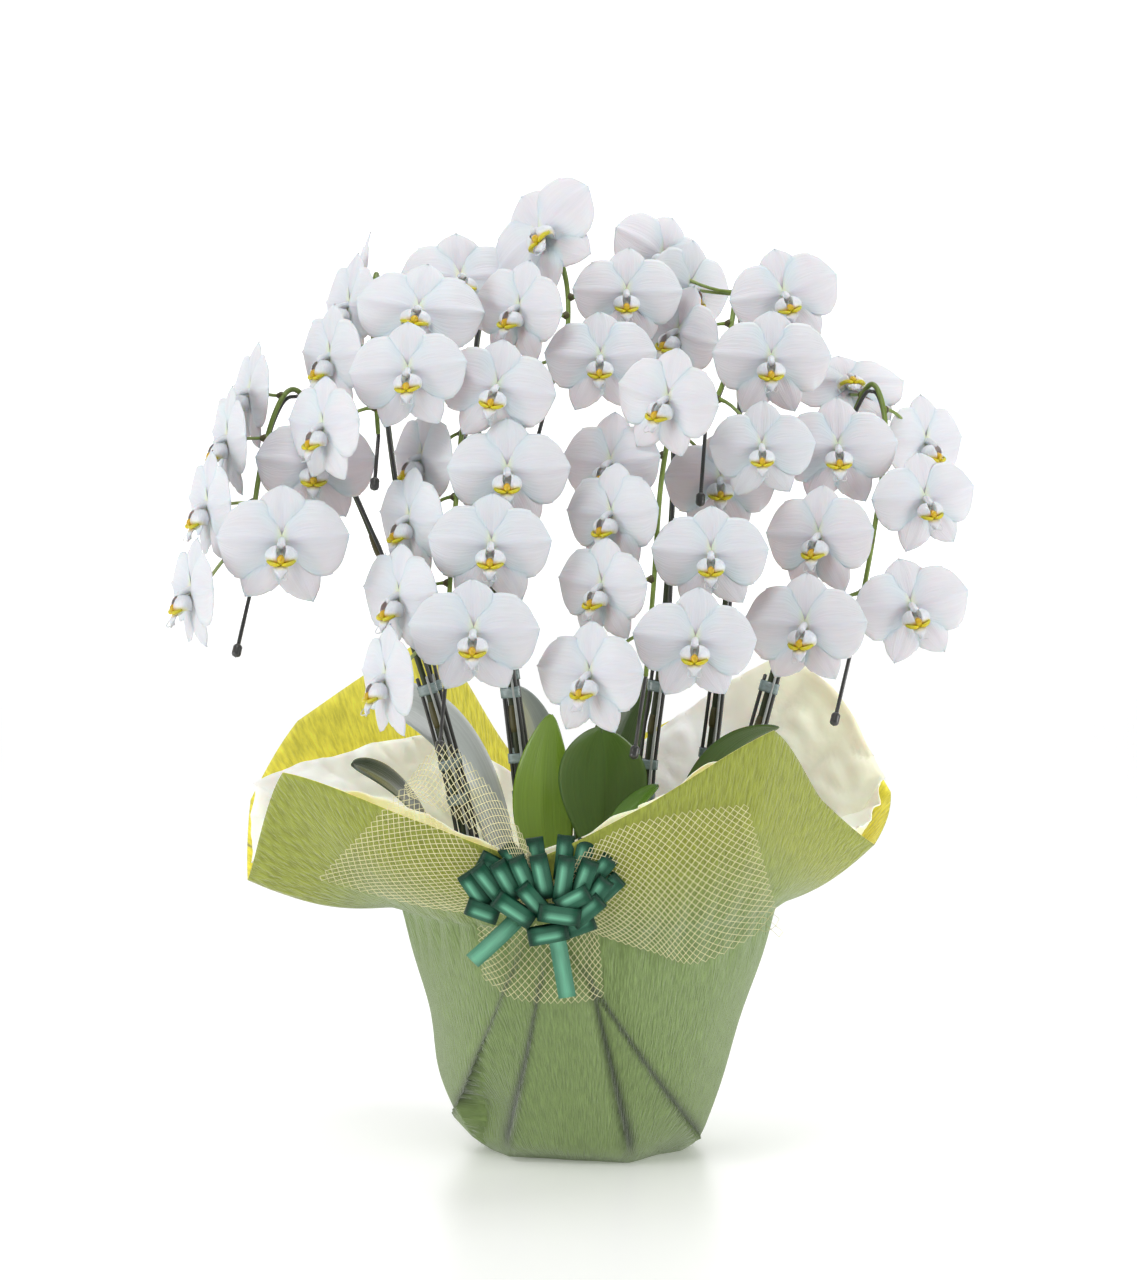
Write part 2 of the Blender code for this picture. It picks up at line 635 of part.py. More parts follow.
def add_bow(crepe, ribbon, collection):
    """The pull bow: a crown of loops round a knot, with its two tails."""
    surfaces = [surface_of(crepe), surface_of(ribbon)]
    x, z = (value * CM for value in BOW_PLACE)
    across, up = BOW_WIDTH / 2, BOW_HEIGHT / 2
    back = min(
        in_front_of(surfaces, x + dx * across, z + dz * up, BOW_CLEAR).y
        for dx in (-0.5, 0.0, 0.5) for dz in (-0.5, 0.0, 0.5)
    )
    sides = BOW_LOOPS * 3
    rings = [[Vector((x, back, z))]]
    for depth, share in BOW_SECTIONS:
        ring = []
        for i in range(sides):
            angle = 2 * math.pi * i / sides
            reach = share * (1.0 - BOW_RIPPLE + BOW_RIPPLE * math.cos(BOW_LOOPS * angle))
            ring.append(
                Vector((x + across * reach * math.cos(angle), back - depth * BOW_DEPTH,
                        z + up * reach * math.sin(angle)))
            )
        rings.append(ring)
    crown = loft("bow", rings + [[Vector((x, back - BOW_CROWN * BOW_DEPTH, z))]], "satin", collection)
    tails = [
        as_mesh(strip(f"bow_tail_{i}", ends, surfaces, back - BOW_DEPTH / 4, collection), collection)
        for i, ends in enumerate(BOW_TAILS)
    ]
    join_all(crown, tails, collection)


def add_leaf(name, foot, bend, tip, width, roll, collection):
    """A strap leaf: a channelled blade along a bent midrib."""
    foot, bend, tip = (in_flower_head(place) for place in (foot, bend, tip))
    foot.z = max(foot.z, fill_top() + FILL_CROWN + LEAF_ABOVE_FILL)
    half = width * CM / 2
    rings = []
    for i in range(LEAF_SECTIONS + 1):
        t = LEAF_START + (1.0 - LEAF_START) * i / LEAF_SECTIONS
        middle = foot * (1 - t) ** 2 + bend * 2 * t * (1 - t) + tip * t**2
        along = ((bend - foot) * (1 - t) + (tip - bend) * t).normalized()
        heading = Vector((tip.x - foot.x, tip.y - foot.y, 0.0)).normalized()
        side = heading.cross(Vector((0.0, 0.0, 1.0)))
        side = (side - along * side.dot(along)).normalized()
        side = Matrix.Rotation(math.radians(roll), 3, along) @ side
        upper = side.cross(along).normalized()
        swell = math.sin(math.pi * min(1.0, LEAF_NARROWING[0] + LEAF_NARROWING[1] * t))
        reach = half * (LEAF_NARROWEST + (1.0 - LEAF_NARROWEST) * swell)
        if i == LEAF_SECTIONS:
            reach = half * LEAF_NARROWEST
        fold = upper * (LEAF_CHANNEL * reach)
        skin = upper * (LEAF_THICKNESS / 2)
        left, right = middle - side * reach + fold, middle + side * reach + fold
        rings.append(
            [left + skin, middle + skin, right + skin, right - skin, middle - skin, left - skin]
        )

    def build(work):
        rows = [[work.verts.new(point) for point in ring] for ring in rings]
        count = len(rows[0])
        for low, high in zip(rows, rows[1:]):
            for i in range(count):
                j = (i + 1) % count
                work.faces.new((low[i], low[j], high[j], high[i]))
        for row in (rows[0], rows[-1]):
            work.faces.new((row[0], row[1], row[4], row[5]))
            work.faces.new((row[1], row[2], row[3], row[4]))
        bmesh.ops.recalc_face_normals(work, faces=work.faces)

    new_object(name, mesh_from(name, build), "leaf", collection).data.shade_smooth()


def tepal_reach(angle, direction, length, half_width):
    """How far an oval petal that starts at the middle reaches at an angle, in metres."""
    turn = math.radians(angle - direction)
    if math.cos(turn) <= 0.0:
        return 0.0
    along = math.cos(turn) ** 2 / (length / 2) ** 2
    across = math.sin(turn) ** 2 / half_width**2
    return math.cos(turn) * 2 / (length / 2) / (along + across)


def bloom_reach(angle):
    """Outline of a bloom: the farthest of its five petals and sepals at an angle from its right."""
    right = abs((angle + 270.0) % 360.0 - 180.0) - 90.0
    return max(
        tepal_reach(right, PETAL_RISE, BLOOM_WIDTH / 2, PETAL_HALF_HEIGHT),
        tepal_reach(right, 90.0, DORSAL_LENGTH, DORSAL_HALF_WIDTH),
        tepal_reach(right, LATERAL_FROM_DOWN - 90.0, LATERAL_LENGTH, LATERAL_HALF_WIDTH),
        LIP_RADIUS,
    )


def bloom_turn(yaw, pitch, roll):
    """How a bloom that faces -Y is turned."""
    return (
        Matrix.Rotation(math.radians(yaw), 3, "Z")
        @ Matrix.Rotation(math.radians(-pitch), 3, "X")
        @ Matrix.Rotation(math.radians(roll), 3, "Y")
    )


def bloom_angles():
    """Angles once round a bloom, the left half mirrored from the right."""
    right = [float(angle) for angle in BLOOM_ANGLES]
    left = [180.0 - angle for angle in reversed(right[1:-1])]
    return right + left


def add_bloom(name, bloom, collection):
    """A bloom as one thin cupped solid: five petals and sepals, with the lip in front."""
    x, y, z, yaw, pitch, roll, size = bloom
    place = in_flower_head((x, y, z))
    turn = bloom_turn(yaw, pitch, roll)
    outline_back, outline_front, throat = [], [], []
    for angle in bloom_angles():
        reach = bloom_reach(angle)
        across = Vector((math.cos(math.radians(angle)), 0.0, math.sin(math.radians(angle))))
        outline_back.append(across * reach + Vector((0.0, PETAL_EDGE, 0.0)))
        outline_front.append(across * reach - Vector((0.0, PETAL_EDGE, 0.0)))
        throat.append(across * THROAT_RADIUS + Vector((0.0, 0.0, -THROAT_DROP)))
    rings = (
        [Vector((0.0, BLOOM_BACK, 0.0))],
        outline_back,
        outline_front,
        throat,
        [Vector((0.0, -LIP_REACH, -LIP_DROP))],
    )
    placed = [[place + turn @ (point * size) for point in ring] for ring in rings]
    return loft(name, placed, "petal", collection)


def nearest_on(route, target):
    """The point of a route nearest to a target, past the route's middle."""
    later = route[len(route) // 2 + 1:-1]
    return min(later, key=lambda point: (point - target).length)


def pedicel_route(stem, bloom):
    """A flower stalk that leaves the stem sideways and comes to the back of its bloom."""
    x, y, z, yaw, pitch, roll, size = bloom
    turn = bloom_turn(yaw, pitch, roll)
    back = turn @ Vector((0.0, 1.0, 0.0))
    end = in_flower_head((x, y, z)) + back * (BLOOM_BACK * size)
    start = nearest_on(stem, end + Vector((0.0, 0.0, PEDICEL_RISE)))
    away = Vector((end.x - start.x, end.y - start.y, 0.0))
    first = start + away / 2
    second = end + back * min(PEDICEL_STRAIGHT, away.length / 2)
    return start, first, second, end, back


def add_pedicel(name, stem, bloom, touching, collection):
    """The stalk of one bloom, stopping just short of it or running into it."""
    start, first, second, end, back = pedicel_route(stem, bloom)
    end = end - back * PEDICEL_BITE if touching else end + back * PEDICEL_GAP
    points = []
    for i in range(PEDICEL_SECTIONS + 1):
        t = i / PEDICEL_SECTIONS
        points.append(
            start * (1 - t) ** 3 + first * 3 * t * (1 - t) ** 2
            + second * 3 * t**2 * (1 - t) + end * t**3
        )
    return as_mesh(tube(name, points, PEDICEL_RADIUS, "stem", collection), collection)


def wire_route(stem, tip):
    """The support wire: beside the stem, then inside its arch, and last straight on to its own tip."""
    across = Vector((1.0, 0.0, 0.0))
    beside = STEM_RADIUS + WIRE_RADIUS + WIRE_BESIDE_STEM
    points = []
    for i, point in enumerate(stem):
        before, after = stem[max(i - 1, 0)], stem[min(i + 1, len(stem) - 1)]
        along = (after - before).normalized()
        inside = across.cross(along).normalized()
        level = inside.cross(along).normalized()
        turned_in = min(1.0, i / (WIRE_TURNS_IN * len(stem)))
        points.append(point + (-level).lerp(inside, turned_in**2).normalized() * beside)
    points[0].z = stem[0].z
    return points + [points[-1].lerp(tip, 0.3), tip]


def add_spike(spike, collection):
    """A stem with all its stalks, its blooms and its support wire."""
    route = [in_flower_head(point) for point in spike.route]
    route[0].z = fill_top() + FILL_CROWN + GAP
    stem = smooth_route(route, STEM_STEPS)
    name = f"flower_spike_{spike.name}"
    base = as_mesh(tube(name, stem, STEM_RADIUS, "stem", collection), collection)
    grown = []
    for number, bloom in enumerate(spike.blooms, 1):
        joined = number <= JOINED_BLOOMS
        grown.append(add_pedicel(f"{name}_stalk_{number}", stem, bloom, joined, collection))
        made = add_bloom(f"bloom_{spike.name}_{number}", bloom, collection)
        if joined:
            grown.append(made)
    join_all(base, grown, collection)
    tip = in_flower_head(spike.wire_tip)
    tube(f"support_wire_{spike.name}", wire_route(stem, tip), WIRE_RADIUS, "wire", collection)


def main():
    """Model the whole potted orchid."""
    clear_scene()
    collection = bpy.data.collections.new("potted_orchid")
    bpy.context.scene.collection.children.link(collection)
    add_pot(collection)
    crepe = add_wrapping(collection)
    ribbon = add_ribbon(crepe, collection)
    add_bow(crepe, ribbon, collection)
    for name, (foot, bend, tip, width, roll) in LEAVES.items():
        add_leaf(name, foot, bend, tip, width, roll, collection)
    for spike in SPIKES:
        add_spike(spike, collection)


main()
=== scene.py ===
"""The looks of a potted moth orchid: seven flower spikes in a gift-wrapped pot.

Metres, +Z up, and the plant faces -Y. Tables of places are in centimetres, as x (to the right), y (to the back)
and z (height). One bloom is built facing -Y about the point where its petals meet, then turned into its place.
"""

from __future__ import annotations

import logging
import math
from dataclasses import dataclass, field
from enum import Enum

import bpy
import numpy as np
from mathutils import Matrix, Vector
from mathutils.bvhtree import BVHTree

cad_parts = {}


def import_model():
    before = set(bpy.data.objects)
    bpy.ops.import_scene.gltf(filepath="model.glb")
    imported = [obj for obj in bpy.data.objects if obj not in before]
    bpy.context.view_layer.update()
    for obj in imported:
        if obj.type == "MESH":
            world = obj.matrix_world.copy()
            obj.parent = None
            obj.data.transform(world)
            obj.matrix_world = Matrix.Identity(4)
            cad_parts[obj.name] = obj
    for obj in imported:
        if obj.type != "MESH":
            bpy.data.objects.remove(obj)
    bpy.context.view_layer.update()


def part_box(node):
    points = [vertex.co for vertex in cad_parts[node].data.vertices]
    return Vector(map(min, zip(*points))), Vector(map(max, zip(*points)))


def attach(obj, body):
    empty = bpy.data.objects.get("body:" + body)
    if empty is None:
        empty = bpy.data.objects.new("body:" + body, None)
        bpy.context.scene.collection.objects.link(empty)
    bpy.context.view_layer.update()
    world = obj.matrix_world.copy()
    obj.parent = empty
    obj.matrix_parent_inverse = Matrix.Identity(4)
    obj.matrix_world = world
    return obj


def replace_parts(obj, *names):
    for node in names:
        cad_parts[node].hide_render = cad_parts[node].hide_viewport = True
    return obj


LOG = logging.getLogger("potted_orchid")
CM = 0.01


# ---------------------------------------------------------------------------------------------------------------
# Finishes
# ---------------------------------------------------------------------------------------------------------------


def linear(code: str) -> tuple[float, float, float, float]:
    """Linear colour of an sRGB hex code.

    Args:
        code: The colour, such as "#8FA56B".

    Returns:
        Red, green, blue and alpha for a shader socket.
    """
    parts = (int(code[i:i + 2], 16) / 255 for i in (1, 3, 5))
    return (*(p / 12.92 if p <= 0.04045 else ((p + 0.055) / 1.055) ** 2.4 for p in parts), 1.0)


def add_node(
    tree: bpy.types.NodeTree,
    kind: str,
    values: dict[str | int, object] | None = None,
    sources: dict[str | int, bpy.types.NodeSocket] | None = None,
    **settings: object,
) -> bpy.types.Node:
    """Add a node with its settings, its socket values and its incoming links.

    Args:
        tree: The node tree that the node is added to.
        kind: Blender's name of the node type.
        values: Constant values by input socket.
        sources: Sockets of other nodes to link in, by input socket.
        **settings: Attributes of the node itself.

    Returns:
        The new node.
    """
    node = tree.nodes.new(kind)
    for name, value in settings.items():
        setattr(node, name, value)
    for socket, value in (values or {}).items():
        node.inputs[socket].default_value = value
    for socket, source in (sources or {}).items():
        tree.links.new(source, node.inputs[socket])
    return node


class Pattern(Enum):
    """What runs over a finish's surface."""

    VEINED = "fine streaks along the piece"
    CREPE = "short crinkles across the paper"
    CRUMPLED = "soft dents and cloudy patches"
    MOTTLED = "small irregular blotches"
    RIBBED = "fine lines along a ribbon"


@dataclass(frozen=True)
class Finish:
    """One material: what the real one is, its gloss and the pattern on it.

    A colour comes from each piece's own "paint" attribute and is varied by the pattern.
    """

    name: str
    pattern: Pattern
    roughness: float
    grain: tuple[float, float, float]  # patterns per metre (or per UV unit), along and across
    depth: float  # of the relief, in metres
    contrast: float  # how far the pattern darkens the colour
    ior: float = 1.45
    coat: float = 0.0
    coat_roughness: float = 0.1
    sheen: float = 0.0
    subsurface: float = 0.0
    metallic: float = 0.0
    on_uv: bool = True
    glow: float = 0.0  # painted glow: the surface shines by itself in its own colour, standing in for light let through a thin sheet from behind it

    def material(self) -> bpy.types.Material:
        """Return the Blender material, made the first time it is asked for."""
        found = bpy.data.materials.get(self.name)
        if found:
            return found
        made = bpy.data.materials.new(self.name)
        made.use_nodes = True
        tree = made.node_tree
        shader = tree.nodes["Principled BSDF"]
        for socket, value in {
            "Roughness": self.roughness,
            "IOR": self.ior,
            "Metallic": self.metallic,
            "Coat Weight": self.coat,
            "Coat Roughness": self.coat_roughness,
            "Sheen Weight": self.sheen,
            "Subsurface Weight": self.subsurface,
            "Subsurface Scale": 0.004,
            "Emission Strength": self.glow,
        }.items():
            shader.inputs[socket].default_value = value
        place = add_node(tree, "ShaderNodeTexCoord")
        scaled = add_node(
            tree,
            "ShaderNodeMapping",
            {"Scale": self.grain},
            {"Vector": place.outputs["UV" if self.on_uv else "Object"]},
        )
        relief = self._relief(tree, scaled.outputs["Vector"])
        paint = add_node(tree, "ShaderNodeVertexColor", layer_name="paint")
        low = add_node(tree, "ShaderNodeMapRange", {"To Min": 1.0 - self.contrast, "To Max": 1.0}, {"Value": relief})
        colour = add_node(
            tree,
            "ShaderNodeMix",
            {"Factor": 1.0},
            {6: paint.outputs["Color"], 7: low.outputs["Result"]},
            data_type="RGBA",
            blend_type="MULTIPLY",
        )
        bump = add_node(tree, "ShaderNodeBump", {"Strength": 1.0, "Distance": self.depth}, {"Height": relief})
        tree.links.new(colour.outputs[2], shader.inputs["Base Color"])
        # painted glow: the paint is also the emission colour, shone at the finish's glow strength
        tree.links.new(colour.outputs[2], shader.inputs["Emission Color"])
        tree.links.new(bump.outputs["Normal"], shader.inputs["Normal"])
        return made

    def _relief(self, tree: bpy.types.NodeTree, place: bpy.types.NodeSocket) -> bpy.types.NodeSocket:
        """Add the nodes of the pattern and return its height, from 0 to 1."""
        if self.pattern is Pattern.CRUMPLED:
            cells = add_node(tree, "ShaderNodeTexVoronoi", {"Scale": 1.0}, {"Vector": place}, feature="SMOOTH_F1")
            clouds = add_node(tree, "ShaderNodeTexNoise", {"Scale": 0.8, "Detail": 4.0}, {"Vector": place})
            both = add_node(
                tree,
                "ShaderNodeMath",
                None,
                {0: cells.outputs["Distance"], 1: clouds.outputs["Fac"]},
                operation="MULTIPLY",
            )
            return both.outputs["Value"]
        detail = {Pattern.VEINED: 2.0, Pattern.CREPE: 3.0, Pattern.MOTTLED: 5.0, Pattern.RIBBED: 0.0}[self.pattern]
        noise = add_node(
            tree, "ShaderNodeTexNoise", {"Scale": 1.0, "Detail": detail, "Roughness": 0.55}, {"Vector": place}
        )
        sharper = add_node(
            tree, "ShaderNodeMapRange", {"From Min": 0.32, "From Max": 0.68}, {"Value": noise.outputs["Fac"]}
        )
        return sharper.outputs["Result"]


# A live petal: waxy, matt and slightly see-through, with faint veins fanned from its base, 2.5 mm apart where
# it is widest
PETAL = Finish("orchid_petal", Pattern.VEINED, 0.5, (2.5, 26.0, 1.0), 0.0002, 0.05, sheen=0.15, subsurface=0.25)
# The lip is thicker and wetter, with blurred stripes
LIP = Finish("orchid_lip", Pattern.VEINED, 0.35, (6.0, 14.0, 1.0), 0.0002, 0.10, coat=0.2, subsurface=0.2)
# A green flower stem: smooth skin with a dull bloom
STEM = Finish("orchid_stem_skin", Pattern.MOTTLED, 0.42, (160.0, 160.0, 60.0), 0.0002, 0.35, on_uv=False)
# A thick leaf: waxed, with parallel veins drawn about 3 mm apart, coarser than real ones, so that they show
LEAF = Finish(
    "orchid_leaf_wax", Pattern.VEINED, 0.34, (1.2, 26.0, 1.0), 0.00018, 0.16, coat=0.45, coat_roughness=0.16
)
# Wire in a moulded PVC sleeve
SLEEVE = Finish("pvc_wire_sleeve", Pattern.MOTTLED, 0.32, (240.0, 240.0, 90.0), 0.0001, 0.12, coat=0.3, on_uv=False)
# Clear sticky tape wound round stem and wire: glossy, with air under it
TAPE = Finish("clear_tape", Pattern.MOTTLED, 0.18, (120.0, 120.0, 300.0), 0.0004, 0.35, coat=0.8, on_uv=False)
# Crepe paper: matt and fibrous, its crinkles about 2 mm apart and 1.5 cm long, coarser than real ones, so that they
# show. It has a painted glow: it shines a little by itself in its own colour, which makes it paler and brighter
CREPE = Finish("crepe_paper", Pattern.CREPE, 0.88, (560.0, 70.0, 1.0), 0.0010, 0.34, sheen=0.5, glow=0.1)
# Thin non-woven tissue, crumpled, with a painted glow: it shines by itself in its own colour, standing in for the light
# let through it
LINER = Finish(
    "crumpled_tissue", Pattern.CRUMPLED, 0.62, (30.0, 30.0, 30.0), 0.008, 0.10,
    sheen=0.2, subsurface=0.3, glow=0.2, on_uv=False,
)
# Knotted net of dull metallic thread
NET = Finish("net_thread", Pattern.MOTTLED, 0.4, (400.0, 400.0, 400.0), 0.0002, 0.15, sheen=0.3, on_uv=False)
# Polypropylene satin ribbon: brushed lengthways; its brightness along the folds is a painted highlight in the bow's
# paint
SATIN = Finish("satin_ribbon", Pattern.RIBBED, 0.3, (4.0, 90.0, 1.0), 0.00012, 0.22, ior=1.34)
# Bark chips and dry moss
BARK = Finish("orchid_bark", Pattern.MOTTLED, 0.9, (300.0, 300.0, 300.0), 0.001, 0.6, on_uv=False)
# White glazed stoneware
GLAZE = Finish("white_glaze", Pattern.MOTTLED, 0.16, (70.0, 70.0, 70.0), 0.0001, 0.05, coat=0.4, on_uv=False)


# ---------------------------------------------------------------------------------------------------------------
# Mesh tools
# ---------------------------------------------------------------------------------------------------------------


def smooth_route(points: np.ndarray, steps: int, closed: bool = False) -> np.ndarray:
    """Read points from a Catmull-Rom curve through the given ones.

    Args:
        points: The points that the curve goes through, one a row.
        steps: Points read from one given point to the next.
        closed: Whether the curve comes back to its start.

    Returns:
        The points of the curve, the last given one included if it is open.
    """
    count = len(points)
    if closed:
        a, b, c, d = (np.roll(points, shift, axis=0) for shift in (1, 0, -1, -2))
    else:
        longer = np.vstack([2 * points[0] - points[1], points, 2 * points[-1] - points[-2]])
        a, b, c, d = longer[:-3], longer[1:-2], longer[2:-1], longer[3:]
    t = (np.arange(steps) / steps)[None, :, None]
    a, b, c, d = (row[:, None, :] for row in (a, b, c, d))
    curve = 0.5 * (2 * b + (c - a) * t + (2 * a - 5 * b + 4 * c - d) * t**2 + (3 * b - a - 3 * c + d) * t**3)
    curve = curve.reshape(-1, points.shape[1])
    return curve if closed else np.vstack([curve[:(count - 1) * steps], points[-1]])


def unit(rows: np.ndarray) -> np.ndarray:
    """Give each row vector a length of one."""
    return rows / np.maximum(np.linalg.norm(rows, axis=-1, keepdims=True), 1e-12)


@dataclass
class Shape:
    """Points, faces, UVs and paint that grow into one mesh."""

    points: list[np.ndarray] = field(default_factory=list)
    faces: list[tuple[int, ...]] = field(default_factory=list)
    uv: list[np.ndarray] = field(default_factory=list)
    paint: list[np.ndarray] = field(default_factory=list)
    slots: list[int] = field(default_factory=list)
    size: int = 0

    def add(
        self, points: np.ndarray, faces: list[tuple[int, ...]], uv: np.ndarray, paint: np.ndarray, slot: int = 0
    ) -> None:
        """Add a closed piece.

        Args:
            points: Its points, one a row.
            faces: Its faces, as numbers of its own points.
            uv: One UV pair for each point.
            paint: One linear colour for each point, or one for all.
            slot: The material slot of its faces.
        """
        self.faces += [tuple(i + self.size for i in face) for face in faces]
        self.slots += [slot] * len(faces)
        self.points.append(points)
        self.uv.append(uv)
        self.paint.append(np.broadcast_to(paint, (len(points), 4)) if paint.ndim == 1 else paint)
        self.size += len(points)

    def add_shell(
        self, grid: np.ndarray, thickness: np.ndarray | float, paint: np.ndarray, uv: np.ndarray | None = None,
        inner: np.ndarray | None = None, slot: int = 0, wrap: bool = False,
    ) -> None:
        """Add a thin closed sheet round a grid of points.

        Args:
            grid: Points as rows, columns and x, y, z.
            thickness: Thickness in metres, for all points or for each.
            paint: One colour, or one for each grid point.
            uv: One UV pair for each grid point, or none for row and column shares.
            inner: Another paint for the far side of the sheet.
            slot: The material slot.
            wrap: Whether the last column meets the first.
        """
        rows, cols, _ = grid.shape
        ahead, behind = (np.roll(grid, shift, axis=1) for shift in (-1, 1))
        across = ahead - behind if wrap else np.gradient(grid, axis=1)
        normal = unit(np.cross(np.gradient(grid, axis=0), across))
        half = np.asarray(thickness)[..., None] / 2 if np.ndim(thickness) else thickness / 2
        points = np.concatenate([(grid + normal * half).reshape(-1, 3), (grid - normal * half).reshape(-1, 3)])
        if uv is None:
            uv = np.stack(np.meshgrid(np.linspace(0, 1, rows), np.linspace(0, 1, cols), indexing="ij"), axis=-1)
        paint = np.broadcast_to(paint, (rows, cols, 4)).reshape(-1, 4)
        inner = paint if inner is None else np.broadcast_to(inner, (rows, cols, 4)).reshape(-1, 4)
        index = np.arange(rows * cols).reshape(rows, cols)
        right = np.roll(index, -1, axis=1) if wrap else index[:, 1:]
        left = index if wrap else index[:, :-1]
        a, b, c, d = left[:-1], left[1:], right[1:], right[:-1]
        far = rows * cols
        front = np.stack([a, b, c, d], axis=-1).reshape(-1, 4)
        faces = [front, np.stack([d, c, b, a], axis=-1).reshape(-1, 4) + far]
        faces.append(np.stack([left[0], right[0], right[0] + far, left[0] + far], axis=-1))
        faces.append(np.stack([right[-1], left[-1], left[-1] + far, right[-1] + far], axis=-1))
        if not wrap:
            low, high = index[:-1], index[1:]
            faces.append(np.stack([high[:, 0], low[:, 0], low[:, 0] + far, high[:, 0] + far], axis=-1))
            faces.append(np.stack([low[:, -1], high[:, -1], high[:, -1] + far, low[:, -1] + far], axis=-1))
        quads = [tuple(quad) for quad in np.concatenate(faces).tolist()]
        self.add(points, quads, np.tile(uv.reshape(-1, 2), (2, 1)), np.concatenate([paint, inner]), slot)

    def add_tube(
        self, path: np.ndarray, radius: np.ndarray | float, sides: int, paint: np.ndarray, slot: int = 0
    ) -> None:
        """Add a round rod along a path, with rounded-off ends.

        Args:
            path: Its points, one a row.
            radius: Its radius, for all points or for each.
            sides: How many sides the rod has.
            paint: One colour, or one for each point of the path.
            slot: The material slot.
        """
        count = len(path)
        radius = np.broadcast_to(radius, (count,)).astype(float)
        along = unit(np.gradient(path, axis=0))
        side = np.cross(along[0], (0.31, 0.87, 0.38))
        frames = []
        for direction in along:
            side = side - direction * np.dot(side, direction)
            side = side / np.linalg.norm(side)
            frames.append((side, np.cross(direction, side)))
        turn = np.arange(sides) * 2 * np.pi / sides
        rings = [
            path[i] + radius[i] * (np.cos(turn)[:, None] * u + np.sin(turn)[:, None] * v)
            for i, (u, v) in enumerate(frames)
        ]
        ends = [path[0] - along[0] * radius[0] * 0.5, path[-1] + along[-1] * radius[-1] * 0.5]
        points = np.concatenate(rings + [np.array(ends)])
        faces: list[tuple[int, ...]] = []
        for i in range(count - 1):
            for j in range(sides):
                k = (j + 1) % sides
                faces.append((i * sides + j, i * sides + k, (i + 1) * sides + k, (i + 1) * sides + j))
        first, last = count * sides, count * sides + 1
        for j in range(sides):
            k = (j + 1) % sides
            faces.append((first, k, j))
            faces.append((last, (count - 1) * sides + j, (count - 1) * sides + k))
        share = np.linspace(0, 1, count)
        uv = np.stack([np.repeat(share, sides), np.tile(np.arange(sides) / sides, count)], axis=-1)
        uv = np.concatenate([uv, [[0.0, 0.5], [1.0, 0.5]]])
        if paint.ndim == 2:
            paint = np.concatenate([np.repeat(paint, sides, axis=0), paint[:1], paint[-1:]])
        self.add(points, faces, uv, paint, slot)

    def moved(self, turn: np.ndarray, place: np.ndarray) -> None:
        """Turn and scale every point by a matrix, then move it."""
        self.points = [rows @ turn.T + place for rows in self.points]

    def build(self, name: str, finishes: list[Finish], slot: str) -> bpy.types.Object:
        """Make the object, riding on the root body.

        Args:
            name: Its name.
            finishes: Its materials, in the order of its slots.
            slot: The record's material slot; it is not used.

        Returns:
            The new object, at the origin.
        """
        data = bpy.data.meshes.new(name)
        data.from_pydata(np.concatenate(self.points), [], self.faces)
        for finish in finishes:
            data.materials.append(finish.material())
        data.polygons.foreach_set("material_index", self.slots)
        corners = np.empty(len(data.loops), dtype=np.int32)
        data.loops.foreach_get("vertex_index", corners)
        data.uv_layers.new(name="UVMap").data.foreach_set("uv", np.concatenate(self.uv)[corners].ravel())
        colours = data.color_attributes.new("paint", "FLOAT_COLOR", "POINT")
        colours.data.foreach_set("color", np.concatenate(self.paint).astype(np.float32).ravel())
        data.shade_smooth()
        data.update()
        made = bpy.data.objects.new(name, data)
        bpy.context.scene.collection.objects.link(made)
        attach(made, "root")
        return made


def paint(code: str) -> np.ndarray:
    """Linear colour of a hex code, as an array."""
    return np.array(linear(code))


def blend_paint(low: np.ndarray, high: np.ndarray, share: np.ndarray) -> np.ndarray:
    """Mix two colours by a share at each point."""
    share = np.clip(share, 0.0, 1.0)[..., None]
    return low * (1.0 - share) + high * share


def round_points(radius: np.ndarray | float, turn: np.ndarray, height: np.ndarray | float) -> np.ndarray:
    """Points round the upright middle line.

    Args:
        radius: How far each point is from the middle.
        turn: Direction of each point, in radians.
        height: Height of each point.

    Returns:
        The points, with x, y and z last.
    """
    x, y = radius * np.cos(turn), radius * np.sin(turn)
    return np.stack([x, y, np.broadcast_to(height, x.shape)], axis=-1)


def wobble(rng: np.random.Generator, place: np.ndarray, waves: int, low: float, high: float) -> np.ndarray:
    """Sum of random sine waves at some places, between about -1 and 1.

    Args:
        rng: The random numbers, seeded.
        place: Places, with as many numbers each as the waves have directions.
        waves: How many waves are summed.
        low: Fewest radians per unit of place.
        high: Most radians per unit of place.

    Returns:
        One height for each place.
    """
    total = np.zeros(place.shape[:-1])
    for _ in range(waves):
        way = rng.normal(size=place.shape[-1])
        way = way / np.linalg.norm(way) * rng.uniform(low, high)
        total += np.sin(place @ way + rng.uniform(0, 2 * np.pi))
    return total / math.sqrt(waves) * 0.9


# ---------------------------------------------------------------------------------------------------------------
# Blooms and spikes
# ---------------------------------------------------------------------------------------------------------------


@dataclass(frozen=True)
class Tepal:
    """One petal or sepal of a bloom of size 1, in centimetres and degrees."""

    length: float
    half_width: float
    direction: float  # from its right, seen from in front
    widest: tuple[float, float]  # share of the length at which its lower and its upper side are widest
    behind: float  # how far its base stands behind the middle of the bloom
    ridge: float  # how far its midline stands forward
    arch: float  # how far it bows forward along its length
    pointed: float  # 0 for a round tip, 1 for a pointed one
    keel: float = 0.0  # how far its two sides slope back from the midline

    def reach(self, t: np.ndarray, widest: float) -> np.ndarray:
        """Share of its full width at each share of its length, on the side that is widest at a given share."""
        inner = 0.13 + 0.87 * np.sin(np.clip(t / widest, 0.0, 1.0) * np.pi / 2)
        fall = np.clip((t - widest) / (1.0 - widest), 0.0, 1.0)
        outer = (1.0 - fall**2.15) ** (1 / 2.15) * (1.0 - self.pointed * 0.55 * fall)
        return np.where(t < widest, inner, outer)


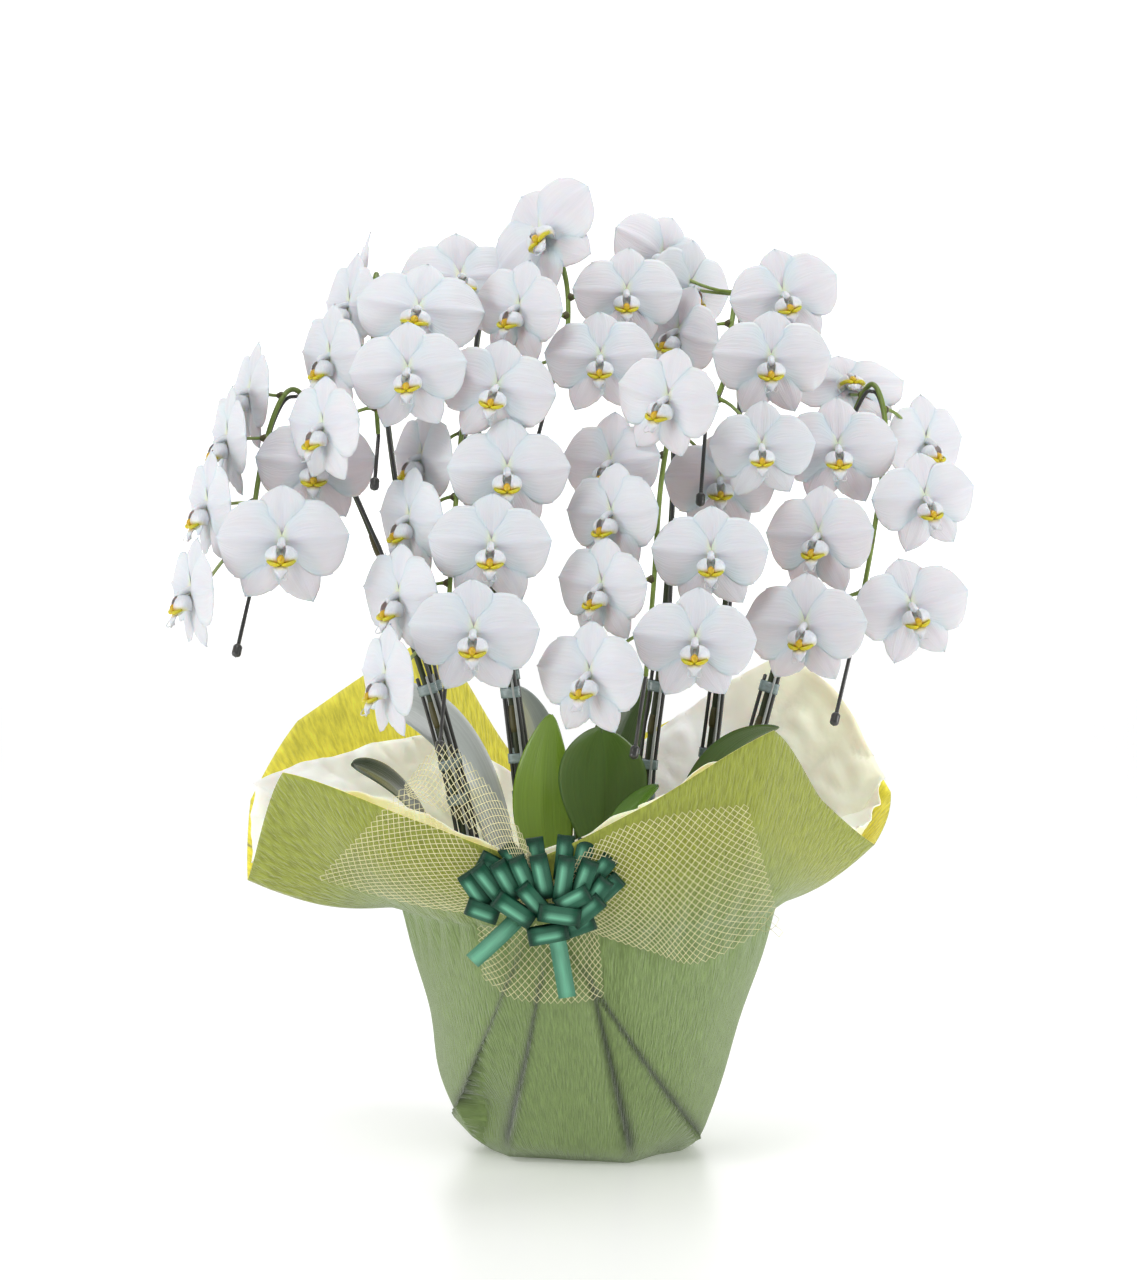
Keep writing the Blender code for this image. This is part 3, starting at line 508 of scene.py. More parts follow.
@dataclass(frozen=True)
class Place:
    """Where a bloom is: the point where its petals meet, how it is turned, and its size."""

    x: float
    y: float
    z: float
    yaw: float
    pitch: float
    roll: float
    size: float

    def turn(self) -> Matrix:
        """Turn of a bloom that faces -Y."""
        return (
            Matrix.Rotation(math.radians(self.yaw), 3, "Z")
            @ Matrix.Rotation(math.radians(-self.pitch), 3, "X")
            @ Matrix.Rotation(math.radians(self.roll), 3, "Y")
        )

    def point(self) -> Vector:
        """The point where its petals meet, in centimetres."""
        return Vector((self.x, self.y, self.z))


@dataclass
class Bloom:
    """A moth orchid's bloom: two petals, three sepals, the lip and the column."""

    name: str
    place: Place
    seed: int
    petal: Tepal = Tepal(5.75, 3.35, 5.0, (0.55, 0.38), 0.0, 0.16, 0.30, 0.0, 0.34)
    dorsal: Tepal = Tepal(4.9, 2.15, 90.0, (0.55, 0.55), 0.34, -0.10, 0.25, 0.10)
    lateral: Tepal = Tepal(5.7, 1.95, -61.0, (0.48, 0.48), 0.38, -0.08, 0.30, 0.30)
    thickness: float = 0.07
    white: np.ndarray = field(default_factory=lambda: paint("#D6D9DE"))
    cool: np.ndarray = field(default_factory=lambda: paint("#C6CCD6"))
    throat: np.ndarray = field(default_factory=lambda: paint("#E3E8B4"))
    yellow: np.ndarray = field(default_factory=lambda: paint("#DCCB12"))
    rust: np.ndarray = field(default_factory=lambda: paint("#C07A14"))

    def __post_init__(self) -> None:
        """Seed the small differences between one bloom and the next."""
        self.rng = np.random.default_rng(self.seed)

    def _tepal(self, shape: Shape, leaf: Tepal, side: int, rows: int, cols: int) -> None:
        """Add one petal or sepal; side is -1 for the mirrored one."""
        rng = self.rng
        t = (1.0 - np.cos(np.linspace(0.0, np.pi, rows))) / 2.0
        t = 0.35 * np.linspace(0.0, 1.0, rows) + 0.65 * t
        s = np.linspace(-1.0, 1.0, cols)
        low, high = (leaf.reach(t, share)[:, None] for share in leaf.widest)
        width = leaf.half_width * rng.uniform(0.96, 1.04) * np.where(s > 0, high, low)
        width = np.maximum(width, 0.05)
        along = leaf.length * rng.uniform(0.97, 1.03) * t[:, None] + 0.0 * s
        tip = 1.0 - 0.06 * s[None, :] ** 2 * (t[:, None] > 0.7)
        along = along * tip
        across = width * s
        share = np.abs(s)[None, :]
        depth = leaf.behind - leaf.arch * np.sin(np.pi * t)[:, None] * 1.1
        depth = depth - leaf.ridge * np.exp(-((share / 0.12) ** 2)) * np.minimum(1.0, 1.6 * t + 0.3)[:, None]
        depth = depth + leaf.keel * np.abs(across) / leaf.half_width
        depth = depth + 0.30 * (across / leaf.half_width) ** 2 * (1.0 - 0.5 * t[:, None])
        depth = depth + 0.28 * t[:, None] ** 2.5
        wave = rng.uniform(0.06, 0.15) * np.sin(
            (rng.uniform(2.0, 3.4) * t[:, None] + 0.5 * s) * np.pi + rng.uniform(0, 6.28)
        )
        depth = depth + wave * share**2 * np.sin(np.pi * np.minimum(1.0, t * 1.15))[:, None] ** 0.5
        droop = rng.normal(0.0, 2.0)
        angle = math.radians(leaf.direction + droop)
        grid = np.stack(
            [
                side * (along * math.cos(angle) - across * math.sin(angle)),
                depth,
                along * math.sin(angle) + across * math.cos(angle),
            ],
            axis=-1,
        )
        if side < 0:
            grid = grid[:, ::-1]
        tint = blend_paint(self.white, self.cool, 0.65 * np.exp(-((share / 0.35) ** 2)) * (1.0 - t[:, None]))
        tint = blend_paint(tint, self.throat, 0.75 * np.clip(1.0 - t[:, None] / 0.12, 0.0, 1.0) + 0.0 * share)
        edge = np.minimum(1.0, 4.0 * (1.0 - share)) * np.minimum(1.0, 6.0 * (1.0 - t[:, None]) + 0.15)
        shape.add_shell(grid * CM, (0.25 + 0.75 * edge) * self.thickness * CM, tint)

    def _side_lobe(self, shape: Shape, side: int) -> None:
        """Add one upright side lobe of the lip, white above and yellow along its lower edge."""
        turn = np.radians(np.linspace(12.0, 128.0, 15))[None, :]
        rise = np.linspace(0.0, 1.0, 15)[:, None]
        low, high = math.radians(-34.0), math.radians(66.0)
        lift = low + (high - low) * rise
        turn = turn + 0.42 * rise**2 * (1.0 - turn / 2.3)
        centre = np.array((0.0, -0.78, -1.32))
        grid = np.stack(
            [
                side * 1.36 * np.cos(lift) * np.sin(turn),
                -0.90 * np.cos(lift) * np.cos(turn) * (1.0 + 0.10 * np.cos(3 * turn)),
                1.04 * np.sin(lift) + 0.0 * turn + 0.16 * np.sin(turn) * (1.0 - rise),
            ],
            axis=-1,
        ) + centre
        if side < 0:
            grid = grid[:, ::-1]
            turn = turn[:, ::-1]
        band = np.clip(1.25 - rise / 0.24, 0.0, 1.0) * np.clip(1.9 - turn, 0.0, 1.0)
        hot = np.clip(1.1 - rise / 0.30, 0.0, 1.0) * np.clip((0.62 - turn) / 0.35, 0.0, 1.0)
        tint = blend_paint(blend_paint(self.white, self.yellow, band), self.rust, hot)
        shape.add_shell(grid * CM, 0.085 * CM, tint, slot=1)
        keel = np.array([(0.10, -1.60, -1.95), (0.45, -1.78, -1.98), (0.85, -1.62, -1.86), (1.16, -1.22, -1.66)])
        keel[:, 0] *= side
        path = smooth_route(keel, 5)
        swell = np.array([0.12 + 0.07 * math.sin(math.pi * i / (len(path) - 1)) for i in range(len(path))])
        gold = blend_paint(self.yellow, paint("#8E9A12"), np.linspace(0.0, 0.6, len(path)))
        shape.add_tube(path * CM, swell * CM, 10, gold, slot=1)

    def _mid_lobe(self, shape: Shape) -> None:
        """Add the white shield at the lip's tip and its two curled tendrils."""
        t = np.linspace(0.0, 1.0, 12)[:, None]
        s = np.linspace(-1.0, 1.0, 11)[None, :]
        width = 0.22 + 0.52 * np.sin(np.pi * np.clip(t * 1.05, 0, 1)) ** 1.2 * (1.0 - 0.45 * t)
        down = 1.28 * t
        grid = np.stack(
            [
                width * s,
                -1.38 - 0.55 * np.sin(t * 2.2) + 0.28 * s**2 + 0.0 * t,
                -1.92 - down + 0.18 * s**2,
            ],
            axis=-1,
        )
        tint = blend_paint(self.yellow, self.white, (t - 0.05) / 0.42 + 0.0 * s)
        shape.add_shell(grid * CM, 0.09 * CM, tint, slot=1)
        for side in (-1, 1):
            turn = np.linspace(0.0, 4.4, 16)
            curl = 0.42 - 0.05 * turn
            path = np.stack(
                [
                    side * (0.10 + 0.40 * np.sin(turn * 0.7) + 0.05 * turn),
                    -1.75 - 0.25 * np.sin(turn) - 0.05 * turn,
                    -3.12 - curl * np.sin(turn) * 0.8 + 0.09 * turn,
                ],
                axis=-1,
            )
            shape.add_tube(path * CM, np.linspace(0.055, 0.022, 16) * CM, 6, self.white, slot=1)

    def _heart(self, shape: Shape) -> None:
        """Add the column above the lip and the callus between its side lobes."""
        column = np.array([(0.0, 0.25, 0.10), (0.0, -0.35, 0.02), (0.0, -0.85, -0.22), (0.0, -1.12, -0.52)])
        path = smooth_route(column, 5)
        swell = np.interp(np.linspace(0, 1, len(path)), (0.0, 0.55, 0.85, 1.0), (0.34, 0.33, 0.40, 0.26))
        shape.add_tube(path * CM, swell * CM, 14, self.white, slot=1)
        knob = smooth_route(np.array([(0.0, -1.22, -1.30), (0.0, -1.62, -1.52), (0.0, -1.74, -1.84)]), 5)
        swell = np.interp(np.linspace(0, 1, len(knob)), (0.0, 0.5, 1.0), (0.22, 0.36, 0.24))
        tint = blend_paint(self.rust, self.yellow, np.linspace(0.25, 0.7, len(knob)))
        shape.add_tube(knob * CM, swell * CM, 10, tint, slot=1)
        neck = np.array([(0.0, -0.15, -0.55), (0.0, -0.50, -1.10), (0.0, -0.95, -1.72), (0.0, -1.35, -1.98)])
        path = smooth_route(neck, 4)
        tint = blend_paint(self.white, self.throat, np.linspace(0.0, 0.9, len(path)))
        shape.add_tube(path * CM, np.linspace(0.30, 0.36, len(path)) * CM, 10, tint, slot=1)

    def build(self) -> bpy.types.Object:
        """Build the bloom in its place.

        Returns:
            The bloom's object.
        """
        shape = Shape()
        self._tepal(shape, self.dorsal, 1, 18, 13)
        for side in (-1, 1):
            self._tepal(shape, self.lateral, side, 18, 13)
            self._tepal(shape, self.petal, side, 26, 21)
            self._side_lobe(shape, side)
        self._mid_lobe(shape)
        self._heart(shape)
        turn = np.array(self.place.turn()) * self.place.size
        shape.moved(turn, np.array(self.place.point()) * CM)
        return shape.build(self.name, [PETAL, LIP], "petal")


@dataclass
class Spike:
    """One flower spike: its stem with stalks, its support wire and its blooms from the top down."""

    name: str
    route: tuple[tuple[float, float, float], ...]
    wire_tip: tuple[float, float, float]
    blooms: tuple[Place, ...]
    stem_radius: float = 0.0031
    tip_radius: float = 0.0021
    stalk_radius: float = 0.0016
    wire_radius: float = 0.0018
    wire_beside: float = 0.0068
    joint_pitch: float = 0.085  # between the swollen joints of the stem
    tape_bands: tuple[tuple[float, float], ...] = ((0.330, 0.010), (0.362, 0.009), (0.432, 0.010))  # height and length
    turned_in: float = 0.4
    joined_blooms: int = 2
    foot: float = 21.15
    dark: np.ndarray = field(default_factory=lambda: paint("#3A4226"))
    green: np.ndarray = field(default_factory=lambda: paint("#7E9440"))
    pale: np.ndarray = field(default_factory=lambda: paint("#C9D29A"))
    bract: np.ndarray = field(default_factory=lambda: paint("#5A5430"))
    grey: np.ndarray = field(default_factory=lambda: paint("#3C3C3A"))
    tape: np.ndarray = field(default_factory=lambda: paint("#A8ABA8"))
    band: np.ndarray = field(default_factory=lambda: paint("#8A9C9C"))

    def stem_path(self) -> np.ndarray:
        """Read the middle line of the stem, in metres."""
        route = np.array(self.route)
        route[0, 2] = self.foot
        return smooth_route(route, 12) * CM

    def wire_path(self, stem: np.ndarray) -> np.ndarray:
        """Lay the wire beside the stem, then inside its arch, and last straight on to its own tip.

        Args:
            stem: The middle line of the stem.

        Returns:
            The middle line of the wire.
        """
        along = unit(np.gradient(stem, axis=0))
        inside = unit(np.cross((1.0, 0.0, 0.0), along))
        level = unit(np.cross(inside, along))
        share = np.minimum(1.0, np.arange(len(stem)) / (self.turned_in * len(stem)))[:, None] ** 2
        path = stem + unit(-level * (1.0 - share) + inside * share) * self.wire_beside
        path[0, 2] = stem[0, 2]
        tip = np.array(self.wire_tip) * CM
        return np.vstack([path, path[-1] * 0.7 + tip * 0.3, tip])

    def _stalk(self, shape: Shape, stem: np.ndarray, bloom: Place) -> None:
        """Add the stalk of one bloom, with the bract that it leaves the stem from."""
        back = np.array(bloom.turn() @ Vector((0.0, 1.0, 0.0)))
        end = np.array(bloom.point()) * CM + back * (0.0042 * bloom.size)
        later = stem[len(stem) // 2 + 6:-6]
        start = later[np.argmin(np.linalg.norm(later - end - (0.0, 0.0, 0.01), axis=1))]
        away = end - start
        away[2] = 0.0
        first = start + away * 0.5
        second = end + back * min(0.014, float(np.linalg.norm(away)) * 0.5)
        t = np.linspace(0.0, 1.0, 14)[:, None]
        path = start * (1 - t) ** 3 + first * 3 * t * (1 - t) ** 2 + second * 3 * t**2 * (1 - t) + end * t**3
        tint = blend_paint(self.green, self.pale, np.linspace(-0.2, 1.0, 14))
        shape.add_tube(path, np.interp(t[:, 0], (0, 0.1, 0.8, 1), (2.2, 1.0, 1.0, 1.7)) * self.stalk_radius, 8, tint)
        along = unit(path[2] - path[0])
        knob = start + along * np.linspace(0.001, 0.0065, 6)[:, None]
        shape.add_tube(knob, np.array([2.3, 2.6, 2.4, 2.0, 1.6, 1.2]) * self.stalk_radius, 8, self.bract)

    def _stem(self) -> bpy.types.Object:
        """Build the stem with its joints and stalks."""
        stem = self.stem_path()
        shape = Shape()
        share = np.linspace(0.0, 1.0, len(stem))
        radius = self.stem_radius + (self.tip_radius - self.stem_radius) * share
        tint = blend_paint(self.dark, self.green, (share - 0.35) / 0.4)
        shape.add_tube(stem, radius, 12, tint)
        lengths = np.concatenate([[0.0], np.cumsum(np.linalg.norm(np.diff(stem, axis=0), axis=1))])
        for at in np.arange(0.10, lengths[-1] * 0.55, self.joint_pitch):
            i = int(np.searchsorted(lengths, at))
            piece = stem[i - 1] + (stem[i + 1] - stem[i - 1]) * np.linspace(0.0, 1.0, 7)[:, None]
            swell = self.stem_radius * np.array([1.12, 1.3, 1.34, 1.3, 1.24, 1.16, 1.02])
            shape.add_tube(piece, swell, 10, self.bract)
        for bloom in self.blooms:
            self._stalk(shape, stem, bloom)
        return shape.build(f"stem_{self.name}", [STEM], "stem")

    def _wire(self) -> bpy.types.Object:
        """Build the sleeved wire, its lower stiffening rod and its end cap."""
        stem = self.stem_path()
        path = self.wire_path(stem)
        shape = Shape()
        shape.add_tube(path, self.wire_radius, 10, self.grey)
        down = unit(path[-1] - path[-2])
        cap = path[-1] + down * np.linspace(-0.011, 0.0, 8)[:, None]
        shape.add_tube(cap, np.array([0.0024, 0.0040, 0.0043, 0.0042, 0.0042, 0.0043, 0.0042, 0.0034]), 14, self.grey)
        low = path[:24]
        other = stem[:24] * 2 - low
        shape.add_tube(other + (0.0, 0.0012, 0.0), self.wire_radius, 10, self.grey)
        shape.add_tube((low + stem[:24]) / 2 - (0.0, 0.0036, 0.0), self.wire_radius * 0.7, 8, self.tape)
        return shape.build(f"wire_{self.name}", [SLEEVE], "wire")

    def _tapes(self) -> bpy.types.Object:
        """Build the bands of clear tape that hold stem and wire together."""
        stem = self.stem_path()
        wire = self.wire_path(stem)[:len(stem)]
        shape = Shape()
        turn = np.linspace(0.0, 2 * np.pi, 21)[:-1]
        for height, length in self.tape_bands:
            i = int(np.argmin(np.abs(stem[:40, 2] - height)))
            up = unit(stem[i + 1] - stem[i - 1])
            across = unit(wire[i] - stem[i])
            side = np.cross(up, across)
            rows = []
            for step in np.linspace(-0.5, 0.5, 6):
                ring = np.cos(turn)[:, None] * across * 0.0096 + np.sin(turn)[:, None] * side * 0.0044
                rows.append(stem[i] + up * step * length + ring)
            shape.add_shell(np.array(rows), 0.0005, self.band, wrap=True)
        return shape.build(f"tape_{self.name}", [TAPE], "wire")

    def build(self) -> None:
        """Build the whole spike, standing for its CAD solids."""
        stem = self._stem()
        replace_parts(stem, f"flower_spike_{self.name}")
        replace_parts(self._wire(), f"support_wire_{self.name}")
        self._tapes()
        for number, place in enumerate(self.blooms, 1):
            seed = sum(map(ord, self.name)) * 10 + number
            made = Bloom(f"flower_{self.name}_{number}", place, seed).build()
            if number > self.joined_blooms:
                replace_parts(made, f"bloom_{self.name}_{number}")
        LOG.info("spike %s: %d blooms", self.name, len(self.blooms))


SPIKES: tuple[Spike, ...] = (
    Spike(
        "far_left",
        ((-10.5, -1.0, 21.6), (-11.9, -1.0, 31.5), (-15.6, -0.5, 45.0), (-20.4, 0.5, 58.0),
         (-24.6, 3.2, 66.5), (-27.2, 2.8, 70.4), (-29.0, -0.4, 68.0), (-30.4, -4.2, 61.0),
         (-30.8, -8.0, 52.2)),
        (-31.9, -9.6, 46.7),
        (Place(-31.4, 1.6, 70.2, -70, 5, 0, 1.0), Place(-33.2, -1.8, 66.0, -70, 0, 0, 1.0),
         Place(-25.0, -4.4, 63.8, 0, 4, 0, 0.98), Place(-34.8, -5.0, 60.1, -66, 0, 0, 1.0),
         Place(-27.5, -11.8, 57.2, 0, 4, 0, 1.06), Place(-36.0, -9.2, 52.6, -66, 0, 0, 1.0)),
    ),
    Spike(
        "upper_left",
        ((-9.6, 2.6, 21.6), (-12.0, 2.6, 33.0), (-15.0, 3.0, 45.0), (-18.0, 4.5, 62.0),
         (-19.4, 5.8, 74.0), (-19.6, 3.5, 81.0), (-19.8, 0.0, 77.6), (-19.5, -3.8, 71.5),
         (-19.1, -6.2, 66.7)),
        (-19.4, -7.8, 61.7),
        (Place(-21.4, 8.4, 80.6, -84, 5, 0, 0.95), Place(-15.5, -4.4, 77.8, 0, 24, 9, 1.04),
         Place(-22.2, 2.4, 78.2, -64, 5, 0, 1.0), Place(-23.7, -2.4, 73.6, -58, 0, 0, 1.0),
         Place(-16.2, -10.0, 72.4, -10, 6, -6, 0.95), Place(-24.0, -9.2, 67.4, -50, 0, 0, 0.96)),
    ),
    Spike(
        "top_centre",
        ((-3.8, 2.4, 21.6), (-6.5, 3.0, 38.0), (-8.8, 4.0, 55.0), (-10.6, 5.0, 70.0),
         (-9.2, 5.8, 80.0), (-5.6, 4.4, 85.4), (-2.4, 1.4, 82.0), (-1.9, -2.2, 75.8),
         (-3.4, -4.6, 71.0)),
        (-4.9, -6.2, 65.2),
        (Place(-4.4, 1.0, 84.9, -40, 18, -46, 1.12), Place(-11.8, 2.0, 80.7, 10, 26, 0, 1.0),
         Place(3.5, -2.4, 79.4, 0, 4, 0, 0.88), Place(-6.4, -4.4, 78.0, -40, 6, 6, 0.93),
         Place(1.1, -6.0, 73.5, -4, 4, 0, 0.9), Place(-8.3, -9.6, 70.9, -8, 6, 10, 0.93)),
    ),
    Spike(
        "top_right",
        ((8.6, 2.4, 21.6), (10.8, 2.4, 33.0), (12.2, 2.4, 44.0), (13.8, 3.5, 62.0),
         (14.3, 4.5, 74.0), (13.9, 3.0, 79.4), (13.2, -0.8, 76.6), (12.4, -4.2, 71.6),
         (10.7, -6.6, 68.2)),
        (10.1, -8.4, 60.3),
        (Place(7.0, 6.6, 82.8, 30, 15, 28, 0.92), Place(9.6, 5.6, 79.9, 40, 0, 10, 0.9),
         Place(18.0, -1.6, 79.2, 6, 8, -12, 0.9), Place(8.2, -0.4, 75.8, -46, 4, 16, 0.9),
         Place(16.6, -5.8, 73.4, -2, 4, 0, 0.94), Place(7.0, -11.4, 69.9, -34, 4, 10, 0.95),
         Place(15.6, -9.8, 65.6, 0, 4, 0, 0.85)),
    ),
    Spike(
        "far_right",
        ((11.6, -1.4, 21.6), (14.4, -1.2, 34.0), (17.3, -1.0, 45.0), (21.2, -0.6, 59.0),
         (24.2, 0.2, 67.4), (26.2, -0.9, 71.0), (27.2, -3.8, 66.6), (25.8, -7.4, 57.0),
         (23.9, -9.8, 47.8)),
        (22.1, -11.8, 40.7),
        (Place(24.2, 4.6, 71.0, 10, 52, 0, 1.0), Place(31.4, 1.6, 65.6, 42, 4, 0, 0.9),
         Place(22.6, -7.6, 65.4, 2, 6, 0, 0.94), Place(30.5, -8.4, 60.8, 16, 4, -8, 0.88),
         Place(20.7, -10.8, 57.6, -28, 2, 0, 0.95), Place(29.0, -12.0, 51.4, 8, 4, -12, 0.93),
         Place(19.3, -14.2, 49.8, -20, 2, 0, 0.98)),
    ),
    Spike(
        "front_left",
        ((-4.8, -2.4, 21.6), (-5.8, -2.4, 31.0), (-7.5, -2.4, 45.0), (-9.6, -3.0, 58.0),
         (-11.0, -4.0, 64.8), (-11.4, -6.6, 67.2), (-11.8, -10.0, 62.4), (-12.4, -13.2, 53.6),
         (-12.8, -15.2, 44.6)),
        (-13.3, -16.6, 38.7),
        (Place(-15.3, -4.8, 64.4, -60, 4, 0, 1.0), Place(-7.3, -11.2, 63.5, 0, 4, 0, 0.97),
         Place(-16.3, -8.0, 59.0, -58, 0, 0, 1.0), Place(-8.7, -14.4, 57.0, -3, 4, 0, 0.98),
         Place(-17.1, -12.0, 52.3, -52, 0, 0, 1.0), Place(-10.2, -18.2, 49.5, -3, 3, 0, 1.0),
         Place(-18.1, -17.0, 45.4, -64, 0, 0, 1.0)),
    ),
    Spike(
        "front_right",
        ((4.6, -2.4, 21.6), (5.4, -2.4, 35.0), (6.7, -2.6, 46.0), (7.6, -3.2, 58.0),
         (7.8, -4.0, 64.6), (7.5, -6.4, 67.2), (6.5, -9.8, 62.0), (5.8, -13.2, 53.2),
         (5.1, -15.0, 45.4)),
        (4.0, -16.4, 38.2),
        (Place(2.0, -7.2, 64.0, -36, 4, 0, 0.95), Place(12.0, -5.8, 62.4, 0, 7, 0, 0.9),
         Place(2.0, -11.2, 59.6, -40, 2, 0, 0.95), Place(10.9, -14.4, 56.2, -2, 4, 0, 0.92),
         Place(1.1, -14.4, 53.3, -40, 2, 0, 0.92), Place(9.4, -18.4, 48.8, -4, 3, 0, 0.96),
         Place(0.0, -18.6, 45.8, -32, 2, 0, 0.97)),
    ),
)


# ---------------------------------------------------------------------------------------------------------------
# Leaves
# ---------------------------------------------------------------------------------------------------------------


@dataclass
class Leaf:
    """A strap leaf: its midrib's foot, bend and tip, its width and its roll about the midrib."""

    name: str
    foot: tuple[float, float, float]
    bend: tuple[float, float, float]
    tip: tuple[float, float, float]
    width: float
    roll: float
    upper: str
    under: str
    notch: float = 0.0
    narrowing: tuple[float, float] = (0.15, 0.62)  # where on a half wave its width starts, and how much it takes
    rounded_from: float = 0.60  # share of its length at which it starts to round off
    thickness: float = 0.0022
    channel: float = 0.16
    lowest: float = 21.7

    def build(self) -> bpy.types.Object:
        """Build the leaf in the place of its CAD solid.

        Returns:
            The leaf's object.
        """
        rows, cols = 44, 21
        foot, bend, tip = (np.array(place, dtype=float) for place in (self.foot, self.bend, self.tip))
        foot[2] = max(foot[2], self.lowest)
        heading = unit(np.array((tip[0] - foot[0], tip[1] - foot[1], 0.0)))
        level = np.cross(heading, (0.0, 0.0, 1.0))
        s = np.linspace(-1.0, 1.0, cols)
        phase = np.random.default_rng(sum(map(ord, self.name))).uniform(0.0, 6.0)
        grid = np.empty((rows, cols, 3))
        ease = np.linspace(0.0, 1.0, rows)
        steps = 0.5 * ease + 0.5 * np.sin(ease * np.pi / 2)
        for i, share in enumerate(steps):
            t = 0.03 + 0.97 * share
            middle = foot * (1 - t) ** 2 + bend * 2 * t * (1 - t) + tip * t**2
            along = unit((bend - foot) * (1 - t) + (tip - bend) * t)
            side = unit(level - along * np.dot(level, along))
            side = np.array(Matrix.Rotation(math.radians(self.roll), 3, Vector(along)) @ Vector(side))
            upper = np.cross(side, along)
            swell = math.sin(math.pi * min(1.0, max(0.0, self.narrowing[0] + self.narrowing[1] * t)))
            fall = max(0.0, (t - self.rounded_from) / (1.0002 - self.rounded_from))
            reach = self.width / 2 * (0.25 + 0.75 * swell) * (math.sqrt(1.0 - fall**2.4) + 0.004)
            fold = self.channel * reach * np.abs(s) ** 1.3 * 1.1
            ripple = 0.02 * self.width * np.sin(4.0 * t + 2.0 * s + phase) * s**2
            back = along[None, :] * (-self.notch * np.exp(-((s / 0.25) ** 2)) * max(0.0, t - 0.8) * 5)[:, None]
            grid[i] = middle + side * (reach * s)[:, None] + upper * (fold + ripple)[:, None] + back
        shape = Shape()
        across = np.abs(s)[None, :]
        rib = np.exp(-((across / 0.07) ** 2)) + 0.0 * ease[:, None]
        top = blend_paint(paint(self.upper), paint(self.under), 0.35 * rib + 0.25 * (1 - ease[:, None]) ** 3)
        edge = np.minimum(1.0, 5.0 * (1.0 - across) + 0.25) + 0.0 * ease[:, None]
        shape.add_shell(grid * CM, edge * self.thickness, paint(self.under), inner=top)
        made = shape.build(self.name, [LEAF], "leaf")
        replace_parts(made, f"leaf_{self.name.removeprefix('blade_')}")
        return made


LEAVES: tuple[Leaf, ...] = (
    Leaf(
        "blade_left_broad", (-8.0, 9.0, 21.5), (-10.0, 6.0, 40.0), (-20.4, 4.5, 41.6), 8.6, -38.0,
        "#C4CAC6", "#DADEDA",
    ),
    Leaf(
        "blade_left_low", (-13.0, 2.5, 21.8), (-15.0, 0.0, 33.5), (-21.8, -3.0, 36.0), 5.8, -30.0,
        "#26360F", "#74876A",
    ),
    Leaf("blade_back_grey", (-2.5, 9.5, 21.5), (-3.2, 9.0, 37.0), (-6.8, 8.0, 42.2), 5.2, 15.0, "#A9B3AD", "#C3CBC6"),
    Leaf(
        "blade_mid_pale", (-1.8, -5.5, 22.0), (-5.6, -5.6, 30.0), (-3.4, -6.2, 41.0), 5.8, 56.0,
        "#86A82C", "#7C9E2A", narrowing=(-0.10, 0.95), rounded_from=0.5,
    ),
    Leaf("blade_mid_tall", (1.0, 1.5, 22.0), (0.0, 1.0, 34.0), (5.8, -0.5, 43.6), 6.4, 66.0, "#3E5A12", "#44611A"),
    Leaf(
        "blade_mid_round", (1.6, -7.0, 22.0), (1.2, -8.6, 34.0), (1.2, -12.0, 40.4), 8.6, 0.0,
        "#46641F", "#4F6F28", notch=0.6, narrowing=(-0.25, 1.05), rounded_from=0.45,
    ),
    Leaf(
        "blade_front_edge", (0.4, -11.0, 21.6), (0.0, -15.2, 30.5), (6.2, -15.4, 35.6), 4.4, 48.0,
        "#557C1C", "#5F8A20",
    ),
    Leaf(
        "blade_right_broad", (8.6, -5.0, 21.6), (9.6, -7.0, 38.0), (17.2, -9.5, 40.2), 6.0, -20.0,
        "#2F4A12", "#40601C",
    ),
)


# ---------------------------------------------------------------------------------------------------------------
# Pot, filling and wrapping
# ---------------------------------------------------------------------------------------------------------------


